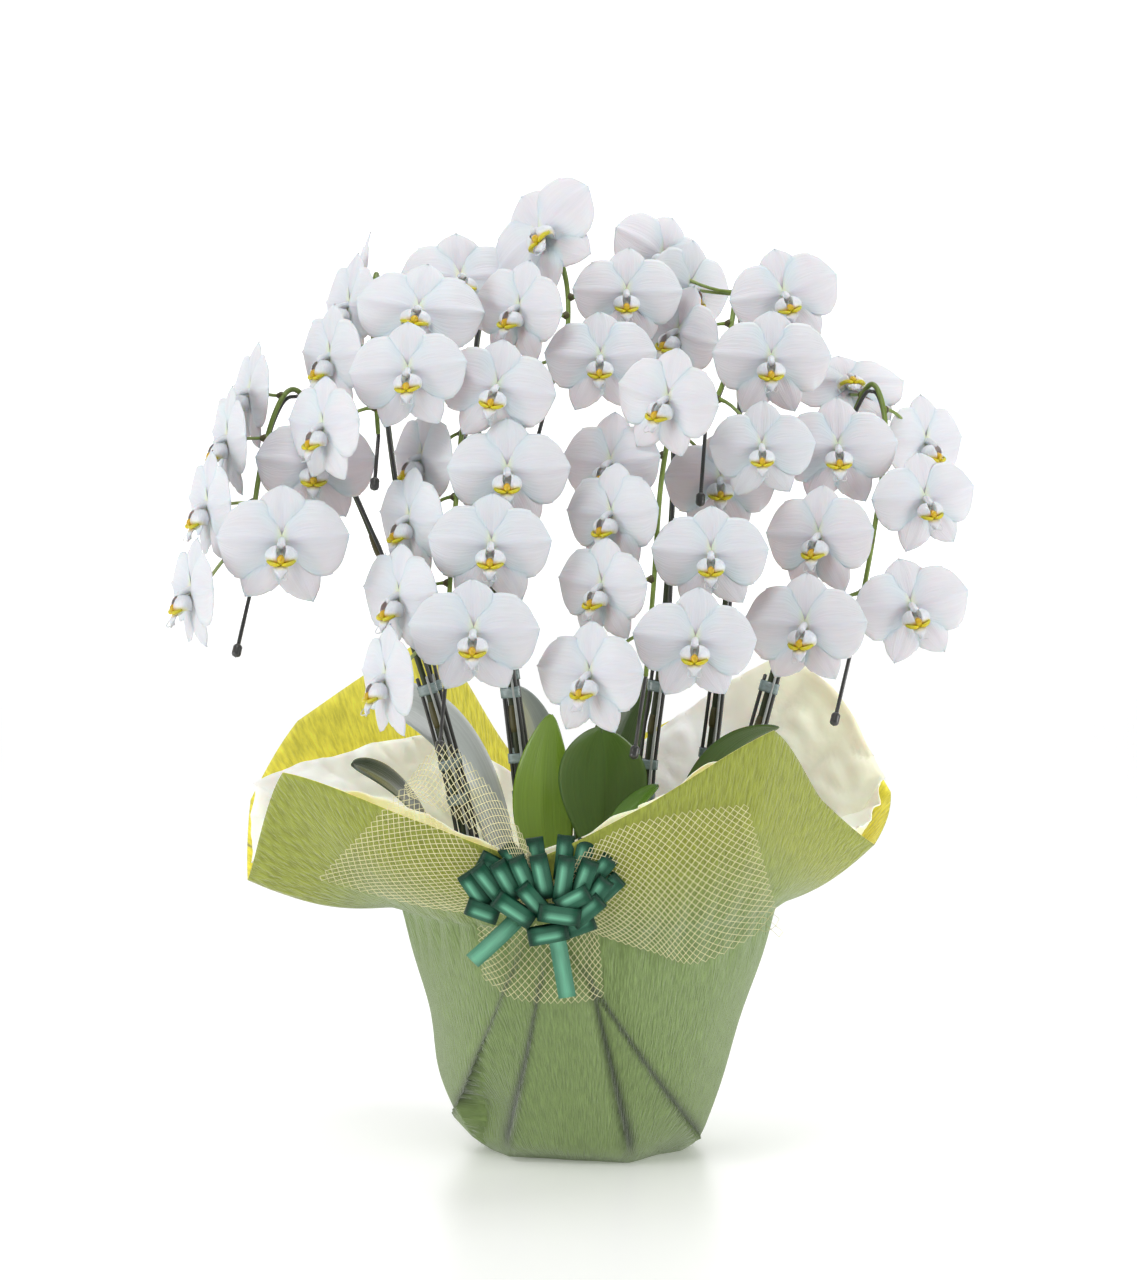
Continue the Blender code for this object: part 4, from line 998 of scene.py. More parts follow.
@dataclass
class Pot:
    """The glazed pot inside the wrapping and the bark that fills it."""

    height: float = 0.215
    rim_radius: float = 0.158
    foot_radius: float = 0.074
    wall: float = 0.006
    lift: float = 0.0021
    fill: float = 0.2049
    chips: int = 900
    chip_length: float = 0.0085
    seed: int = 4

    def _turned(
        self, name: str, profile: list[tuple[float, float]], finish: Finish, tint: np.ndarray, slot: str
    ) -> bpy.types.Object:
        """Turn a closed profile about the middle into one solid."""
        sides = 96
        rows = np.array(profile)
        turn = np.arange(sides) * 2 * np.pi / sides
        points = round_points(rows[:, 0, None], turn, rows[:, 1, None]).reshape(-1, 3)
        faces: list[tuple[int, ...]] = []
        count = len(rows)
        for i in range(count - 1):
            for j in range(sides):
                k = (j + 1) % sides
                faces.append((i * sides + j, i * sides + k, (i + 1) * sides + k, (i + 1) * sides + j))
        faces.append(tuple(range(sides))[::-1])
        faces.append(tuple((count - 1) * sides + j for j in range(sides)))
        shape = Shape()
        shape.add(points, faces, points[:, :2] * 10, tint)
        return shape.build(name, [finish], slot)

    def build(self) -> None:
        """Build the pot, the filling's body and the chips on top of it."""
        low, rim = self.lift, self.lift + self.height
        inner_foot, inner_rim = self.foot_radius - self.wall, self.rim_radius - self.wall
        profile = [
            (self.foot_radius - 0.012, low), (self.foot_radius, low + 0.003), (self.foot_radius + 0.008, low + 0.024),
            (self.rim_radius - 0.001, rim - 0.004), (self.rim_radius, rim - 0.001), (self.rim_radius - 0.002, rim),
            (inner_rim + 0.001, rim), (inner_rim, rim - 0.002), (inner_foot + 0.008, low + 0.026),
            (inner_foot, low + self.wall + 0.002), (inner_foot - 0.01, low + self.wall),
        ]
        pot = self._turned("pot_body", profile, GLAZE, paint("#E8E6E0"), "pot")
        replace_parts(pot, "pot")
        radius = inner_rim - 0.0035
        fill = [
            (inner_foot - 0.006, low + 0.012), (inner_foot + 0.002, low + 0.030), (radius, self.fill - 0.002),
            (radius - 0.002, self.fill), (radius * 0.5, self.fill + 0.003), (0.004, self.fill + 0.004),
        ]
        body = self._turned("bark_bed", fill, BARK, paint("#4A3A28"), "bark")
        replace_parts(body, "growing_medium")
        chips = self._chips(body, radius)
        LOG.info("pot, bark bed and %d chips", self.chips)

    def _chips(self, bed: bpy.types.Object, radius: float) -> bpy.types.Object:
        """Scatter bark chips over the top of the bed with Geometry Nodes.

        Args:
            bed: The solid body of the filling; it is not used.
            radius: How far from the middle the chips lie.

        Returns:
            The chips as one mesh.
        """
        disc = Shape()
        turn = np.arange(48) * 2 * np.pi / 48
        rim = round_points(radius * 0.94, turn, self.fill + 0.001)
        points = np.concatenate([rim, [[0.0, 0.0, self.fill + 0.0035]]])
        disc.add(points, [(48, j, (j + 1) % 48) for j in range(48)], points[:, :2], paint("#5B4630"))
        made = disc.build("bark_chips", [BARK], "bark")
        tree = bpy.data.node_groups.new("scatter_chips", "GeometryNodeTree")
        face = tree.interface
        face.new_socket("Geometry", in_out="INPUT", socket_type="NodeSocketGeometry")
        length = face.new_socket("Chip length", in_out="INPUT", socket_type="NodeSocketFloat")
        density = face.new_socket("Chips per square metre", in_out="INPUT", socket_type="NodeSocketFloat")
        face.new_socket("Geometry", in_out="OUTPUT", socket_type="NodeSocketGeometry")
        given = add_node(tree, "NodeGroupInput")
        spread = add_node(
            tree, "GeometryNodeDistributePointsOnFaces", {"Seed": self.seed},
            {"Mesh": given.outputs["Geometry"], "Density": given.outputs["Chips per square metre"]},
        )
        turned = add_node(
            tree, "FunctionNodeRandomValue", {0: (-0.5, -0.5, 0.0), 1: (0.5, 0.5, 6.28), "Seed": self.seed},
            data_type="FLOAT_VECTOR",
        )
        scale = add_node(
            tree, "FunctionNodeRandomValue", {0: (0.5, 0.4, 0.25), 1: (1.2, 0.9, 0.5), "Seed": self.seed + 1},
            data_type="FLOAT_VECTOR",
        )
        chip = add_node(
            tree, "GeometryNodeMeshIcoSphere", {"Subdivisions": 1}, {"Radius": given.outputs["Chip length"]}
        )
        laid = add_node(
            tree, "GeometryNodeInstanceOnPoints", None,
            {"Points": spread.outputs["Points"], "Instance": chip.outputs["Mesh"],
             "Rotation": turned.outputs["Value"], "Scale": scale.outputs["Value"]},
        )
        real = add_node(tree, "GeometryNodeRealizeInstances", None, {"Geometry": laid.outputs["Instances"]})
        dressed = add_node(
            tree, "GeometryNodeSetMaterial", {"Material": BARK.material()}, {"Geometry": real.outputs["Geometry"]}
        )
        add_node(tree, "NodeGroupOutput", None, {0: dressed.outputs["Geometry"]})
        inputs = {length.identifier: self.chip_length, density.identifier: self.chips / (math.pi * radius**2)}
        return bake_nodes(made, tree, inputs, paint("#5B4630"))


def bake_nodes(
    item: bpy.types.Object, tree: bpy.types.NodeTree, inputs: dict[str, float], tint: np.ndarray
) -> bpy.types.Object:
    """Run a Geometry Nodes tree on an object and keep its result as a plain mesh.

    Args:
        item: The object that carries the tree's input mesh.
        tree: The tree.
        inputs: Its input values by socket identifier.
        tint: The paint of the finished mesh.

    Returns:
        The same object with the finished mesh.
    """
    nodes = item.modifiers.new("nodes", "NODES")
    nodes.node_group = tree
    for identifier, value in inputs.items():
        nodes[identifier] = value
    graph = bpy.context.evaluated_depsgraph_get()
    data = bpy.data.meshes.new_from_object(item.evaluated_get(graph), depsgraph=graph)
    item.modifiers.remove(nodes)
    colours = data.color_attributes.get("paint") or data.color_attributes.new("paint", "FLOAT_COLOR", "POINT")
    colours.data.foreach_set("color", np.tile(tint.astype(np.float32), len(colours.data)))
    item.data = data
    return item


@dataclass
class Wrapping:
    """The two-tone crepe sheet gathered round the pot, and the tissue inside its flare."""

    tie: float = 0.2269
    foot_radius: float = 0.105
    tie_radius: float = 0.1765
    sheet: float = 0.0009
    sag: float = 0.08
    columns_each: int = 30
    cone_rows: int = 46
    flare_rows: int = 34
    liner_inset: float = 0.0107
    crumple: float = 0.010
    crepe_flat: tuple[float, float] = (0.78, 0.78)
    liner_flat: tuple[float, float] = (1.50, 0.15)  # of the band that shows: the flare's way round by its depth
    gathers: float = 19.0  # radians of fold for each radian round the tie
    gather_depth: float = 0.004
    pleat_foot: float = 2.0  # height of the lower end of a pleat's line, in centimetres
    pleat_rise: float = 13.0  # from there to its upper end
    pleat_fade: float = 0.020  # how slowly a pleat falls off on its proud side
    pleat_step: float = 0.0014  # and how sharply on the other
    edge: tuple[tuple[float, float, float], ...] = (
        (26.0, -2.0, 28.5), (28.0, 5.0, 32.5), (20.0, 13.0, 44.6), (9.0, 17.0, 38.5),
        (-1.0, 18.5, 33.5), (-7.5, 18.5, 35.0), (-14.6, 16.0, 46.2), (-27.0, 9.0, 38.8),
        (-31.0, 3.5, 32.0), (-30.8, -3.5, 25.4), (-27.0, -12.0, 36.4), (-15.0, -16.5, 32.6),
        (-5.0, -18.8, 29.4), (5.0, -19.5, 34.4), (16.2, -15.5, 40.6), (20.8, -9.0, 33.5),
    )
    liner_share: tuple[float, ...] = (
        1.00, 1.03, 1.02, 0.99, 0.92, 0.80, 0.66, 0.82, 1.05, 1.03, 0.90, 0.97, 0.97, 0.97, 0.92, 0.95,
    )
    # Pleats on the front: x at the upper and at the lower end, in centimetres, how high, and which side stands proud
    pleats: tuple[tuple[float, float, float, int], ...] = (
        (-7.9, -12.6, 1.0, 1), (-4.5, -6.9, 0.7, 1), (0.7, 3.3, 0.7, -1), (1.8, 9.6, 1.0, -1),
    )

    def edge_points(self) -> np.ndarray:
        """Read the free edge, nearly straight between its corners, in metres."""
        corners = np.array(self.edge)
        curved = smooth_route(corners, self.columns_each, closed=True)
        share = (np.arange(self.columns_each) / self.columns_each)[None, :, None]
        straight = corners[:, None, :] * (1 - share) + np.roll(corners, -1, axis=0)[:, None, :] * share
        points = 0.35 * curved + 0.65 * straight.reshape(-1, 3)
        scale = self.tie_radius / 0.173
        return points * (scale * CM, scale * CM, CM) + (0.0, 0.0, self.tie - 0.227)

    def flare(self, edge: np.ndarray, share: np.ndarray) -> np.ndarray:
        """Points of the flare between the tie and the free edge.

        Args:
            edge: The free edge, one point a column.
            share: Share of the way out, for each row and column.

        Returns:
            The points, as rows, columns and x, y, z.
        """
        turn = np.arctan2(edge[:, 1], edge[:, 0])
        foot = round_points(self.tie_radius, turn, self.tie)
        sag = self.sag * np.linalg.norm(edge - foot, axis=1)[None, :] * np.sin(np.pi * share)
        points = foot[None] * (1 - share[..., None]) + edge[None] * share[..., None]
        points[..., 2] -= sag
        return points

    def _pleat_line(self, high: float, low: float, height: np.ndarray) -> np.ndarray:
        """Where a pleat's line is across, at each height, from its x at its upper and lower end in centimetres."""
        return (low + (high - low) * (height / CM - self.pleat_foot) / self.pleat_rise) * CM

    def _flattened(self, radius: np.ndarray, turn: np.ndarray, height: np.ndarray) -> np.ndarray:
        """How far the flat panels between the pleats lie inside the round cone.

        Args:
            radius: Radius of each point of the cone.
            turn: Direction of each point.
            height: Height of each row.

        Returns:
            The distance inwards of each point.
        """
        x, y = radius * np.cos(turn), radius * np.sin(turn)
        inwards = np.zeros_like(x)
        for i in range(len(height)):
            at = [self._pleat_line(high, low, height[i]) for high, low, _, _ in self.pleats]
            small = radius[i].min()
            at = np.clip(at, -0.94 * small, 0.94 * small)
            line = np.interp(x[i], at, -np.sqrt(small**2 - at**2))
            inside = (x[i] > at[0]) & (x[i] < at[-1]) & (y[i] < 0)
            inwards[i] = np.where(inside, np.maximum(line - y[i], 0.0), 0.0)
        fade = np.clip((0.20 - height) / 0.06, 0.0, 1.0)[:, None]
        return inwards * fade * 0.9

    def _crepe(self) -> bpy.types.Object:
        """Build the crepe sheet."""
        edge = self.edge_points()
        count = len(edge)
        turn = np.arctan2(edge[:, 1], edge[:, 0])
        rng = np.random.default_rng(21)
        up = np.linspace(0.0, 1.0, self.cone_rows) ** 0.9
        height = up * self.tie
        radius = self.foot_radius + (self.tie_radius - self.foot_radius) * up
        corner = np.clip(1.0 - height / 0.016, 0.0, 1.0)
        radius = radius - 0.012 * corner**1.6
        shape_turn = np.broadcast_to(turn, (self.cone_rows, count))
        bulge = np.exp(-(((height - 0.060) / 0.050) ** 2)) * np.clip(height / 0.03, 0.0, 1.0)
        full = radius[:, None] + 0.0125 * bulge[:, None] * np.clip(-np.cos(shape_turn), 0.0, 1.0) ** 0.7
        full = full - self._flattened(full, shape_turn, height)
        x = full * np.cos(shape_turn)
        proud = np.zeros((self.cone_rows, count))
        # painted shade: a dark band along the low side of each pleat's line, where the fold is shaded
        shade = np.zeros_like(proud)
        front = np.clip(-np.sin(shape_turn) * 2.2, 0.0, 1.0)
        for high, low, rise, side in self.pleats:
            off = side * (x - self._pleat_line(high, low, height[:, None]))
            fade = np.clip((0.222 - height[:, None]) / 0.05, 0.0, 1.0)
            fade = fade * np.clip(height[:, None] / 0.02 - 0.1, 0.0, 1.0)
            slope = np.where(off >= 0, np.exp(-off / self.pleat_fade), np.exp(off / self.pleat_step))
            proud += rise * CM * fade * front * slope
            wide = 0.0030 + 0.004 * np.clip((0.15 - height[:, None]) / 0.12, 0.0, 1.0)
            shade = np.maximum(shade, fade * front * np.exp(-(((off + 0.5 * wide) / wide) ** 2)))
        place = round_points(6, shape_turn, height[:, None] * 28)
        proud += 0.0016 * wobble(rng, place, 14, 0.8, 2.6)
        near_tie = np.exp(-(((self.tie - height[:, None]) / 0.035) ** 2))
        folds = np.abs(np.sin(self.gathers * shape_turn + 1.5 * wobble(rng, place, 6, 0.3, 1.0)))
        proud += near_tie * (self.gather_depth * folds - 0.0065)
        reach = full + np.maximum(proud, -0.006)
        cone = round_points(reach, turn, height[:, None])
        bottom = np.array([0.02, 0.35, 0.7])[:, None, None] * cone[0]
        share = np.linspace(0.0, 1.0, self.flare_rows)[1:, None] + np.zeros(count)
        flare = self.flare(edge, share)
        out = round_points(1.0, turn, 0.0)
        place = round_points(7, turn + 0 * share, share * 1.6)
        folds = np.abs(np.sin(self.gathers * turn + wobble(rng, place, 6, 0.3, 1.0)))
        gather = np.exp(-((share / 0.28) ** 2)) * (self.gather_depth * folds - 0.0045)
        gather += 0.0022 * wobble(rng, place, 10, 0.6, 2.2) * np.sin(np.pi * np.minimum(share * 1.2, 1.0)) ** 0.5
        flare = flare + out[None] * gather[..., None]
        grid = np.concatenate([bottom, cone, flare])
        up_sheet = np.concatenate([np.zeros(len(bottom)), height, self.tie + share[:, 0] * 0.18])
        round_sheet = np.broadcast_to(turn * 0.15, grid.shape[:2])
        uv = np.stack([round_sheet, np.broadcast_to(up_sheet[:, None], grid.shape[:2])], axis=-1)
        body, collar = paint("#82995A"), paint("#99A23A")
        rows = len(bottom) + len(cone)
        level = np.concatenate([np.zeros(rows), share[:, 0]])[:, None] + np.zeros(count)
        tint = blend_paint(body, collar, level * 1.6)
        painted_fold_shade = np.zeros(level.shape)
        painted_fold_shade[len(bottom):rows] = shade
        # painted shade: the pleat lines are darkened towards a near-black green, standing in for the shade in the folds
        tint = blend_paint(tint, paint("#1F2B14"), 0.92 * painted_fold_shade)
        shape = Shape()
        inside = blend_paint(tint, paint("#FFF456"), 8.0 * level)
        shape.add_shell(grid, self.sheet, inside, uv=uv, inner=tint, wrap=True)
        made = shape.build("crepe_sheet", [CREPE], "crepe")
        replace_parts(made, "crepe_wrap")
        return made

    def _liner(self) -> bpy.types.Object:
        """Build the crumpled tissue inside the flare."""
        edge = self.edge_points()
        rng = np.random.default_rng(8)
        shares = np.array(self.liner_share)
        steps = (np.arange(self.columns_each) / self.columns_each)[None, :]
        reach = (shares[:, None] * (1 - steps) + np.roll(shares, -1)[:, None] * steps).reshape(-1)
        turn = np.arctan2(edge[:, 1], edge[:, 0])
        place = np.stack([np.cos(turn) * 9, np.sin(turn) * 9], axis=-1)
        reach = np.minimum(reach + 0.02 * wobble(rng, place, 8, 1.0, 4.0) - 0.01, 1.06)
        share = np.linspace(0.0, 1.0, 40)[:, None] * reach[None, :]
        surface = self.flare(edge, share)
        across = np.roll(surface, -1, axis=1) - np.roll(surface, 1, axis=1)
        outwards = unit(np.cross(across, np.gradient(surface, axis=0)))
        place = surface * 60.0
        crumple = np.abs(wobble(rng, place, 7, 0.6, 1.4)) + 0.5 * np.abs(wobble(rng, place, 9, 1.6, 3.2))
        inset = self.liner_inset + self.crumple * np.minimum(crumple, 1.6) * np.minimum(1.0, share * 4 + 0.1)
        grid = surface - outwards * inset[..., None]
        low = grid[0].copy()
        low[:, 2] -= 0.012
        low[:, :2] *= 0.975
        grid = np.concatenate([low[None], grid])
        cream, white = paint("#FAF8CE"), paint("#FFFFFC")
        patch = 0.5 + 0.6 * wobble(rng, grid * 16.0, 6, 0.6, 1.5)
        shape = Shape()
        shape.add_shell(grid, self.sheet, blend_paint(white, cream, 0.75 * patch), wrap=True)
        made = shape.build("tissue_liner", [LINER], "liner")
        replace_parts(made, "liner_sheet")
        return made

    def build(self) -> tuple[bpy.types.Object, bpy.types.Object]:
        """Build both sheets and return them, the crepe first."""
        made = self._crepe(), self._liner()
        LOG.info("crepe sheet and tissue liner")
        return made


@dataclass
class NetRibbon:
    """The wide net ribbon: a wing to each side of the bow, a raised fold and a tail."""

    flat: tuple[float, float] = (0.145, 0.60)  # the ribbon's width, and the length cut from the roll
    pitch: float = 0.0066
    diamond_height: float = 1.15  # as a share of the pitch
    thread: float = 0.00032
    off_crepe: float = 0.004
    raise_by: float = 0.013
    # Each wing: upper and lower edge as x and z in centimetres, from its outer end to the knot, and its lift
    left: tuple[tuple[tuple[float, float], ...], ...] = (
        ((-16.6, 34.4), (-13.5, 31.6), (-9.5, 28.6), (-6.2, 26.6), (-4.0, 25.6)),
        ((-24.8, 24.6), (-19.8, 23.4), (-13.0, 22.9), (-7.0, 23.0), (-4.0, 23.6)),
    )
    raised: tuple[tuple[tuple[float, float], ...], ...] = (
        ((-16.4, 34.6), (-12.9, 38.4), (-9.4, 35.4), (-6.2, 31.0), (-4.6, 27.4)),
        ((-16.0, 33.6), (-12.4, 32.0), (-9.0, 29.6), (-6.4, 27.4), (-4.8, 26.0)),
    )
    right: tuple[tuple[tuple[float, float], ...], ...] = (
        ((-3.6, 25.8), (-1.0, 28.4), (3.0, 31.2), (8.6, 32.4), (14.2, 32.7)),
        ((-3.6, 23.4), (0.4, 21.4), (5.6, 19.4), (10.2, 17.9), (17.6, 20.6)),
    )
    tail: tuple[tuple[tuple[float, float], ...], ...] = (
        ((-10.0, 21.6), (-7.0, 21.9), (-4.0, 22.2), (-1.0, 21.9), (0.9, 21.2)),
        ((-9.6, 16.6), (-6.8, 15.0), (-4.0, 14.8), (-1.4, 14.9), (1.4, 15.5)),
    )

    def _wing(
        self, shape: Shape, surface: BVHTree, edges: tuple[tuple[tuple[float, float], ...], ...], lift: float, seed: int
    ) -> np.ndarray:
        """Add a wing's diamonds as open faces for the thread to follow.

        Args:
            shape: The shape that is added to.
            surface: The crepe's surface, which the wing lies on.
            edges: The wing's upper and lower edge.
            lift: How far its middle stands off the crepe.
            seed: For its folds.

        Returns:
            The wing's grid of points.
        """
        top, foot = (smooth_route(np.array(edge), 12) * CM + (0.0, self.raise_by) for edge in edges)
        length = np.linalg.norm(np.diff(top, axis=0), axis=1).sum() * 0.5
        length += np.linalg.norm(np.diff(foot, axis=0), axis=1).sum() * 0.5
        width = float(np.linalg.norm(top - foot, axis=1).max())
        cols = 2 * max(4, int(length / self.pitch))
        rows = 2 * max(4, int(width / self.pitch / self.diamond_height))
        at = np.linspace(0, len(top) - 1, cols + 1)
        top = np.stack([np.interp(at, np.arange(len(top)), top[:, k]) for k in (0, 1)], axis=-1)
        foot = np.stack([np.interp(at, np.arange(len(foot)), foot[:, k]) for k in (0, 1)], axis=-1)
        share = np.linspace(0.0, 1.0, rows + 1)[:, None, None]
        plan = foot[None] * (1 - share) + top[None] * share
        rng = np.random.default_rng(seed)
        folds = wobble(rng, np.stack([plan[..., 0] * 46, plan[..., 1] * 46], axis=-1), 6, 0.5, 1.3)
        grid = np.empty((*plan.shape[:2], 3))
        middle = np.sin(np.pi * share[..., 0]) ** 0.5
        for i, j in np.ndindex(*plan.shape[:2]):
            x, z = plan[i, j]
            grid[i, j] = (x, front_of(surface, x, z), z)
        smoothed = grid[..., 1].copy()
        for _ in range(6):
            padded = np.pad(smoothed, 1, mode="edge")
            mean = (padded[:-2, 1:-1] + padded[2:, 1:-1] + padded[1:-1, :-2] + padded[1:-1, 2:]) / 4
            smoothed = np.minimum(grid[..., 1], mean)
        grid[..., 1] = smoothed - self.off_crepe - (lift + 0.5 * lift * folds) * middle
        index = np.arange(grid.shape[0] * grid.shape[1]).reshape(grid.shape[:2])
        faces = []
        for i in range(1, rows):
            for j in range(1, cols):
                if (i + j) % 2 == 0:
                    faces.append((index[i - 1, j], index[i, j + 1], index[i + 1, j], index[i, j - 1]))
        shape.add(grid.reshape(-1, 3), [tuple(map(int, f)) for f in faces], np.zeros((index.size, 2)), paint("#F2EBB8"))
        return grid

    def build(self, crepe: bpy.types.Object) -> bpy.types.Object:
        """Build the net over the crepe sheet.

        Args:
            crepe: The finished crepe sheet.

        Returns:
            The net's object.
        """
        surface = BVHTree.FromObject(crepe, bpy.context.evaluated_depsgraph_get())
        shape = Shape()
        wings = ((self.left, 0.006), (self.raised, 0.009), (self.right, 0.007), (self.tail, 0.004))
        for seed, (edges, lift) in zip((3, 5, 7, 9), wings):
            self._wing(shape, surface, edges, lift, seed)
        made = shape.build("net_band", [NET], "net")
        tree = self._threads()
        sockets = {item.name: item.identifier for item in tree.interface.items_tree if item.in_out == "INPUT"}
        bake_nodes(made, tree, {sockets["Thread radius"]: self.thread}, paint("#F2EBB8"))
        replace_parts(made, "net_ribbon")
        area = sum(polygon.area for polygon in made.data.polygons) / 2
        LOG.info("net ribbon: %.4f m2 of thread hung, %.4f m2 in the flat ribbon", area, self.flat_thread_area())
        return made

    def flat_thread_area(self) -> float:
        """Work out the thread's area in the flat ribbon, from the ribbon's own sizes and not from the hung mesh.

        Returns:
            Half the surface of the square threads in the flat cut, in square metres, since a net is mostly holes.
        """
        high = self.diamond_height * self.pitch
        edges = 2 * math.hypot(self.pitch / 2, high / 2)  # each diamond shares its four edges with its neighbours
        half_girth = 2 * math.sqrt(2.0) * self.thread
        return self.flat[0] * self.flat[1] * edges * half_girth / (self.pitch * high / 2)

    def _threads(self) -> bpy.types.NodeTree:
        """Make the Geometry Nodes tree that lays a thread along each edge of the diamonds."""
        tree = bpy.data.node_groups.new("lay_threads", "GeometryNodeTree")
        face = tree.interface
        face.new_socket("Geometry", in_out="INPUT", socket_type="NodeSocketGeometry")
        face.new_socket("Thread radius", in_out="INPUT", socket_type="NodeSocketFloat")
        face.new_socket("Geometry", in_out="OUTPUT", socket_type="NodeSocketGeometry")
        given = add_node(tree, "NodeGroupInput")
        paths = add_node(tree, "GeometryNodeMeshToCurve", None, {"Mesh": given.outputs["Geometry"]})
        ring = add_node(
            tree, "GeometryNodeCurvePrimitiveCircle", {"Resolution": 4}, {"Radius": given.outputs["Thread radius"]}
        )
        thread = add_node(
            tree, "GeometryNodeCurveToMesh", {"Fill Caps": True},
            {"Curve": paths.outputs["Curve"], "Profile Curve": ring.outputs["Curve"]},
        )
        real = add_node(tree, "GeometryNodeRealizeInstances", None, {"Geometry": thread.outputs["Mesh"]})
        dressed = add_node(
            tree, "GeometryNodeSetMaterial", {"Material": NET.material()}, {"Geometry": real.outputs["Geometry"]}
        )
        add_node(tree, "NodeGroupOutput", None, {0: dressed.outputs["Geometry"]})
        return tree


def front_of(surface: BVHTree, x: float, z: float, most: float = -0.21, half: float = -0.03) -> float:
    """Depth of the front of a surface at a place seen from in front.

    Args:
        surface: The surface.
        x: Place across.
        z: Height.
        most: Where to look from if nothing lies straight behind the place.
        half: Anything further back than this isn't the front.

    Returns:
        The y of the surface there.
    """
    hit = surface.ray_cast(Vector((x, -1.0, z)), Vector((0.0, 1.0, 0.0)))[0]
    if hit is None or hit.y > half:
        hit = surface.find_nearest(Vector((x, most, z)))[0]
    return hit.y


@dataclass
class Bow:
    """The pull bow: short loops of satin ribbon round a knot, and its two tails."""

    x: float = -0.043
    z: float = 0.246
    raised: float = 0.014
    ribbon: float = 0.0155
    sheet: float = 0.0005
    ribbon_length: float = 2.10
    loop_depth: float = 0.0062  # how far a loop's front and back stand from its middle
    # Each loop's middle as x and z in centimetres, where it leans in degrees from up, its length, and its depth
    loops: tuple[tuple[float, float, float, float, float], ...] = (
        (-8.2, 27.4, 62, 3.4, 1.2), (-6.4, 28.0, 40, 3.4, 1.0), (-4.6, 28.2, 8, 3.6, 0.8), (-2.2, 28.2, -6, 4.0, 0.9),
        (-0.6, 28.0, -14, 3.8, 1.0), (0.9, 27.0, -38, 3.4, 1.4), (1.5, 25.4, -48, 3.4, 1.6),
        (-10.0, 25.4, 34, 3.6, 1.6),
        (-8.8, 26.2, 38, 3.8, 2.2), (-7.2, 26.4, 30, 3.8, 2.6), (-5.7, 26.8, 24, 3.8, 2.8), (-4.1, 26.8, 12, 4.0, 3.0),
        (-2.2, 26.6, -8, 4.2, 3.1), (-0.5, 26.4, -20, 4.0, 2.8), (0.6, 25.2, -36, 3.4, 2.6), (-9.4, 23.6, 70, 3.0, 2.0),
        (-6.6, 24.0, 56, 4.0, 3.9), (-4.9, 24.8, 40, 3.4, 3.4), (-2.6, 23.6, 82, 3.8, 4.2), (-0.2, 23.8, -50, 3.4, 3.2),
        (-3.6, 21.8, 100, 3.6, 3.6), (-1.4, 24.9, -62, 3.2, 3.8), (-0.9, 22.4, -70, 3.0, 2.6),
    )
    # Each tail's two ends as x and z in centimetres
    tails: tuple[tuple[tuple[float, float], tuple[float, float]], ...] = (
        ((-6.5, 22.5), (-10.4, 18.6)), ((-3.0, 22.0), (-1.9, 15.6)),
    )
    deep: np.ndarray = field(default_factory=lambda: paint("#074A33"))
    # the colour of the painted highlight on the ribbon
    bright: np.ndarray = field(default_factory=lambda: paint("#86D8B2"))

    def _loop(self, shape: Shape, middle: np.ndarray, lean: float, length: float) -> None:
        """Add one flattened loop of ribbon, seen from its front, that curls over at its two ends, with a painted
        highlight down its front and painted shade at its ends.

        Args:
            shape: The shape that is added to.
            middle: The middle of the loop.
            lean: How far it leans from upright, in radians.
            length: Its length.
        """
        along = np.array((-math.sin(lean), 0.0, math.cos(lean)))
        side = np.array((math.cos(lean), 0.0, math.sin(lean)))
        turn = np.linspace(np.pi, 3 * np.pi, 41)[:-1]
        ahead = -np.sign(np.cos(turn)) * np.abs(np.cos(turn)) ** 0.55 * self.loop_depth
        up = np.sign(np.sin(turn)) * np.abs(np.sin(turn)) ** 0.8 * length / 2
        path = middle + along * up[:, None] + np.array((0.0, 1.0, 0.0)) * (ahead * (1.0 + 0.3 * up / length))[:, None]
        s = np.linspace(-0.5, 0.5, 7)
        grid = path[:, None, :] + side * (self.ribbon * s)[None, :, None]
        grid = grid + np.array((0.0, -0.0022, 0.0)) * (1.0 - 4.0 * s**2)[None, :, None]
        # painted highlight: a bright band down the front of each loop, brightest a little left of its middle
        band = np.exp(-((up / (0.31 * length)) ** 6)) * (ahead < 0)
        light = band[:, None] * (0.12 + 0.88 * np.exp(-(((s + 0.12) / 0.13) ** 2)))
        tint = blend_paint(self.deep, self.bright, light)
        # painted shade: the ends of each loop, where it curls over, are darkened
        tint = blend_paint(tint, paint("#043524"), 0.8 * (np.abs(up) > 0.40 * length)[:, None] * np.ones(7))
        closed = np.concatenate([grid, grid[:1] + 0.00001])
        shape.add_shell(closed, self.sheet, np.concatenate([tint, tint[:1]]))

    def build(self, crepe: bpy.types.Object, net: bpy.types.Object) -> bpy.types.Object:
        """Build the bow in front of the wrapping.

        Args:
            crepe: The crepe sheet.
            net: The net ribbon.

        Returns:
            The bow's object.
        """
        low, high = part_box("bow")
        graph = bpy.context.evaluated_depsgraph_get()
        surfaces = [BVHTree.FromObject(item, graph) for item in (crepe, net)]
        knot = np.array((self.x, high[1] - 0.014, self.z + self.raised))
        shape = Shape()
        low_y = high[1] - 0.010
        for x, z, lean, length, depth in self.loops:
            middle = np.array((x * CM, low_y - depth * CM, z * CM + self.raised))
            self._loop(shape, middle, math.radians(lean), length * CM)
        for start, end in self.tails:
            self._tail(shape, surfaces, knot, start, end)
        made = shape.build("pull_bow", [SATIN], "satin")
        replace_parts(made, "bow")
        LOG.info("bow, %.3f m deep", high[1] - low[1])
        return made

